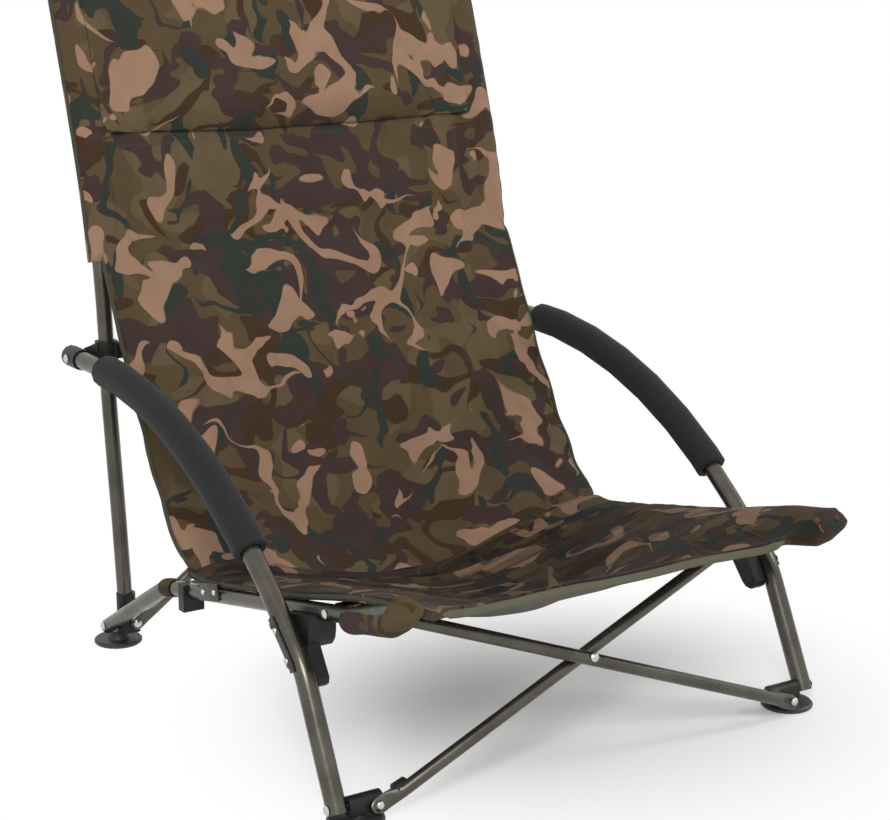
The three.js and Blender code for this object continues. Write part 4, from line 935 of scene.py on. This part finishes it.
def back_ripples(spot, normal):
    """Small uneven ripples, strongest away from the uprights."""
    inner = 1 - smooth_share((abs(spot.x) - 0.19) / 0.07)
    slow = noise.noise(Vector((spot.x * 11, spot.z * 5, 6.6)))
    fine = noise.noise(Vector((spot.x * 30, spot.z * 13, 2.2))) * 0.35
    return spot + normal * ((slow + fine) * back_ripple * (0.35 + 0.65 * inner))


def back_pull(spot, normal):
    """Pulled folds at the lower corners and along the sleeve seams, and the dip of the seams."""
    low = smooth_share((0.46 - spot.z) / 0.16) * smooth_share((abs(spot.x) - 0.10) / 0.13)
    slant = math.sin((spot.z * 0.9 + abs(spot.x) * 1.25) * 105 + noise.noise(spot * 9) * 3)
    near_seam = smooth_share((abs(spot.x) - 0.13) / 0.10) * smooth_share((spot.z - 0.44) / 0.1)
    drag = math.sin((spot.z * 1.3 - abs(spot.x) * 1.1) * 88 + noise.noise(spot * 7) * 4)
    folds = slant * pulled_fold_depth * low + drag * near_seam * drag_depth
    return spot + normal * (folds - seam_groove(spot) * seam_groove_depth)


shape = bmesh.new()
bmesh.ops.create_grid(shape, x_segments=back_columns, y_segments=back_rows, size=0.5)
for vert in shape.verts:
    vert.co = on_back(vert.co.x * 2, vert.co.y + 0.5)
bmesh.ops.recalc_face_normals(shape, faces=shape.faces)
shape.normal_update()
if sum(face.normal.y for face in shape.faces) > 0:
    bmesh.ops.reverse_faces(shape, faces=shape.faces)
back = cloth_piece("back_cloth", shape, 2, (back_ripples, back_pull), (camo, backing))
wall = back.modifiers.new("thickness", "SOLIDIFY")
wall.thickness = back_thickness
wall.offset = -1
wall.material_offset = 1
wall.material_offset_rim = 0
back_edges = []
bpy.context.view_layer.update()
for side, sign in (("_l", -1), ("_r", 1)):
    name = "back_side_binding" + side
    line = rim_line(back, 2, (sign, 0, 0), low=0.128, high=0.480, count=64)
    line = [spot + Vector((0, back_thickness * 0.4, 0)) for spot in line]
    back_edges.append(strip(name, line, (0, 1, 0), dark_tape, wide=0.0062, thick=0.0040))
    row = []
    for k in range(17):
        z = 0.47 + 0.02 * k
        out = spread_line(z, stitch_row_foot, stitch_row_spread)
        row.append(Vector((sign * out, 0.20, z)))
    back_edges.append(stitches("sleeve_stitches" + side, back, row, (0, 1, 0)))

# Sleeves: the back's sides, folded round the uprights and sewn down behind them. On the chair the
# collars push them up the tubes as it folds, so they gather towards the top; here each keeps one
# shape.
sleeve_edge = 0.2430
sleeve_solid_rim = 0.0044
for side, sign, body in (("_l", -1, "left_side"), ("_r", 1, "right_side")):
    shape = soft_copy("back_upper", sleeve_solid_rim)
    bmesh.ops.bisect_plane(
        shape, geom=shape.verts[:] + shape.edges[:] + shape.faces[:],
        plane_co=(sign * sleeve_edge, 0, 0), plane_no=(sign, 0, 0), clear_inner=True,
    )
    bmesh.ops.holes_fill(shape, edges=shape.edges, sides=0)
    bmesh.ops.recalc_face_normals(shape, faces=shape.faces)
    sleeve = cloth_piece("upright_sleeve" + side, shape, 2)
    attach(sleeve, body)
    name = "sleeve_piping" + side
    line = rim_line(sleeve, 2, (sign, -0.25, 0), low=0.474, high=0.794, count=60)
    piping = strip(name, line, (0, 1, 0), dark_tape, wide=0.0060, thick=0.0036)
    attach(piping, body)
    for soft in (sleeve, piping):
        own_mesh(soft)

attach(back, "left_side")
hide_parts("back_upper", "back_lower")
for edge_piece in back_edges:
    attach(edge_piece, "left_side")

# Head pad: a flat pillow of the printed cloth, filled with wadding and sewn to the front of the
# back along its lower edge and its sides.
pad_side = 0.2500
pad_flat_from, pad_flat_share, pad_lift = 0.175, 0.92, 0.0015
pad_look_limit = 0.244
pad_row_half_length, pad_row_height = 0.235, 0.6005


def pad_flattened(spot, normal):
    """The pillow thins out towards its sewn sides, so that it shows no step there."""
    reach = smooth_share((abs(spot.x) - pad_flat_from) / (pad_side - pad_flat_from))
    over_back = min(pad_look_limit, max(-pad_look_limit, spot.x))
    behind = back_face.ray_cast(Vector((over_back, look_from.y, spot.z)), Vector((0, 1, 0)))[0]
    if behind is None:
        return spot
    flat = Vector((spot.x, behind.y - pad_lift, spot.z))
    return spot.lerp(flat, reach * pad_flat_share)


pad = cloth_piece("head_cushion", soft_copy("head_pad"), 2, (back_ripples, pad_flattened))
row = [
    Vector((-pad_row_half_length + 2 * pad_row_half_length * k / 60, 0.20, pad_row_height))
    for k in range(61)
]
pad_row = stitches("pad_stitches", back, row, (0, 1, 0))
for soft in (pad, pad_row):
    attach(soft, "left_side")
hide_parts("head_pad")
for soft in [back, pad, pad_row] + back_edges:
    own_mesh(soft)

# Corner pockets and rail loops: the same cloth, sewn to the seat as sleeves that hold the rail
# tips and the rails behind the clamps.
pocket_inner_share = 1.6
pocket_outer, pocket_wall = 0.2865, 0.0004
pocket_top, pocket_top_slope, pocket_top_from = 0.2468, 0.25, -0.38
pocket_front_reach = 0.0055
pocket_under_drop, pocket_tip_rise, pocket_top_rise, pocket_fall = 0.0045, 0.0085, 0.0055, 0.0015


def pocket_spread(spot, normal):
    """Widens a pocket inwards, rounds its tip and draws it forward over the rail's end."""
    out = pocket_outer - (pocket_outer - abs(spot.x)) * pocket_inner_share
    front = smooth_share((-0.30 - spot.y) / 0.06)
    tip = smooth_share((-0.352 - spot.y) / 0.030)
    brim = pocket_top - 0.010 + (spot.y - pocket_top_from) * pocket_top_slope
    below = smooth_share((brim - spot.z) / 0.012)
    height = spot.z - pocket_under_drop * below * front * (1 - tip)
    height += pocket_tip_rise * below * tip - pocket_fall
    height += pocket_top_rise * (1 - below) * (1 - tip)
    out = math.copysign(min(out, pocket_outer - pocket_wall), spot.x)
    return Vector((out, spot.y - pocket_front_reach * front, height))


for side, body in (("_l", "rail_left"), ("_r", "rail_right")):
    pocket = cloth_piece(
        "corner_pocket" + side, soft_copy("seat_pocket" + side), 2, (pocket_spread,),
        cut_from=seat_print_place if side == "_r" else (0, 0, 0),
    )
    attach(pocket, body)
    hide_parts("seat_pocket" + side)
    loop = cloth_piece("cloth_loop" + side, soft_copy("rail_loop" + side), 1)
    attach(loop, body)
    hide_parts("rail_loop" + side)
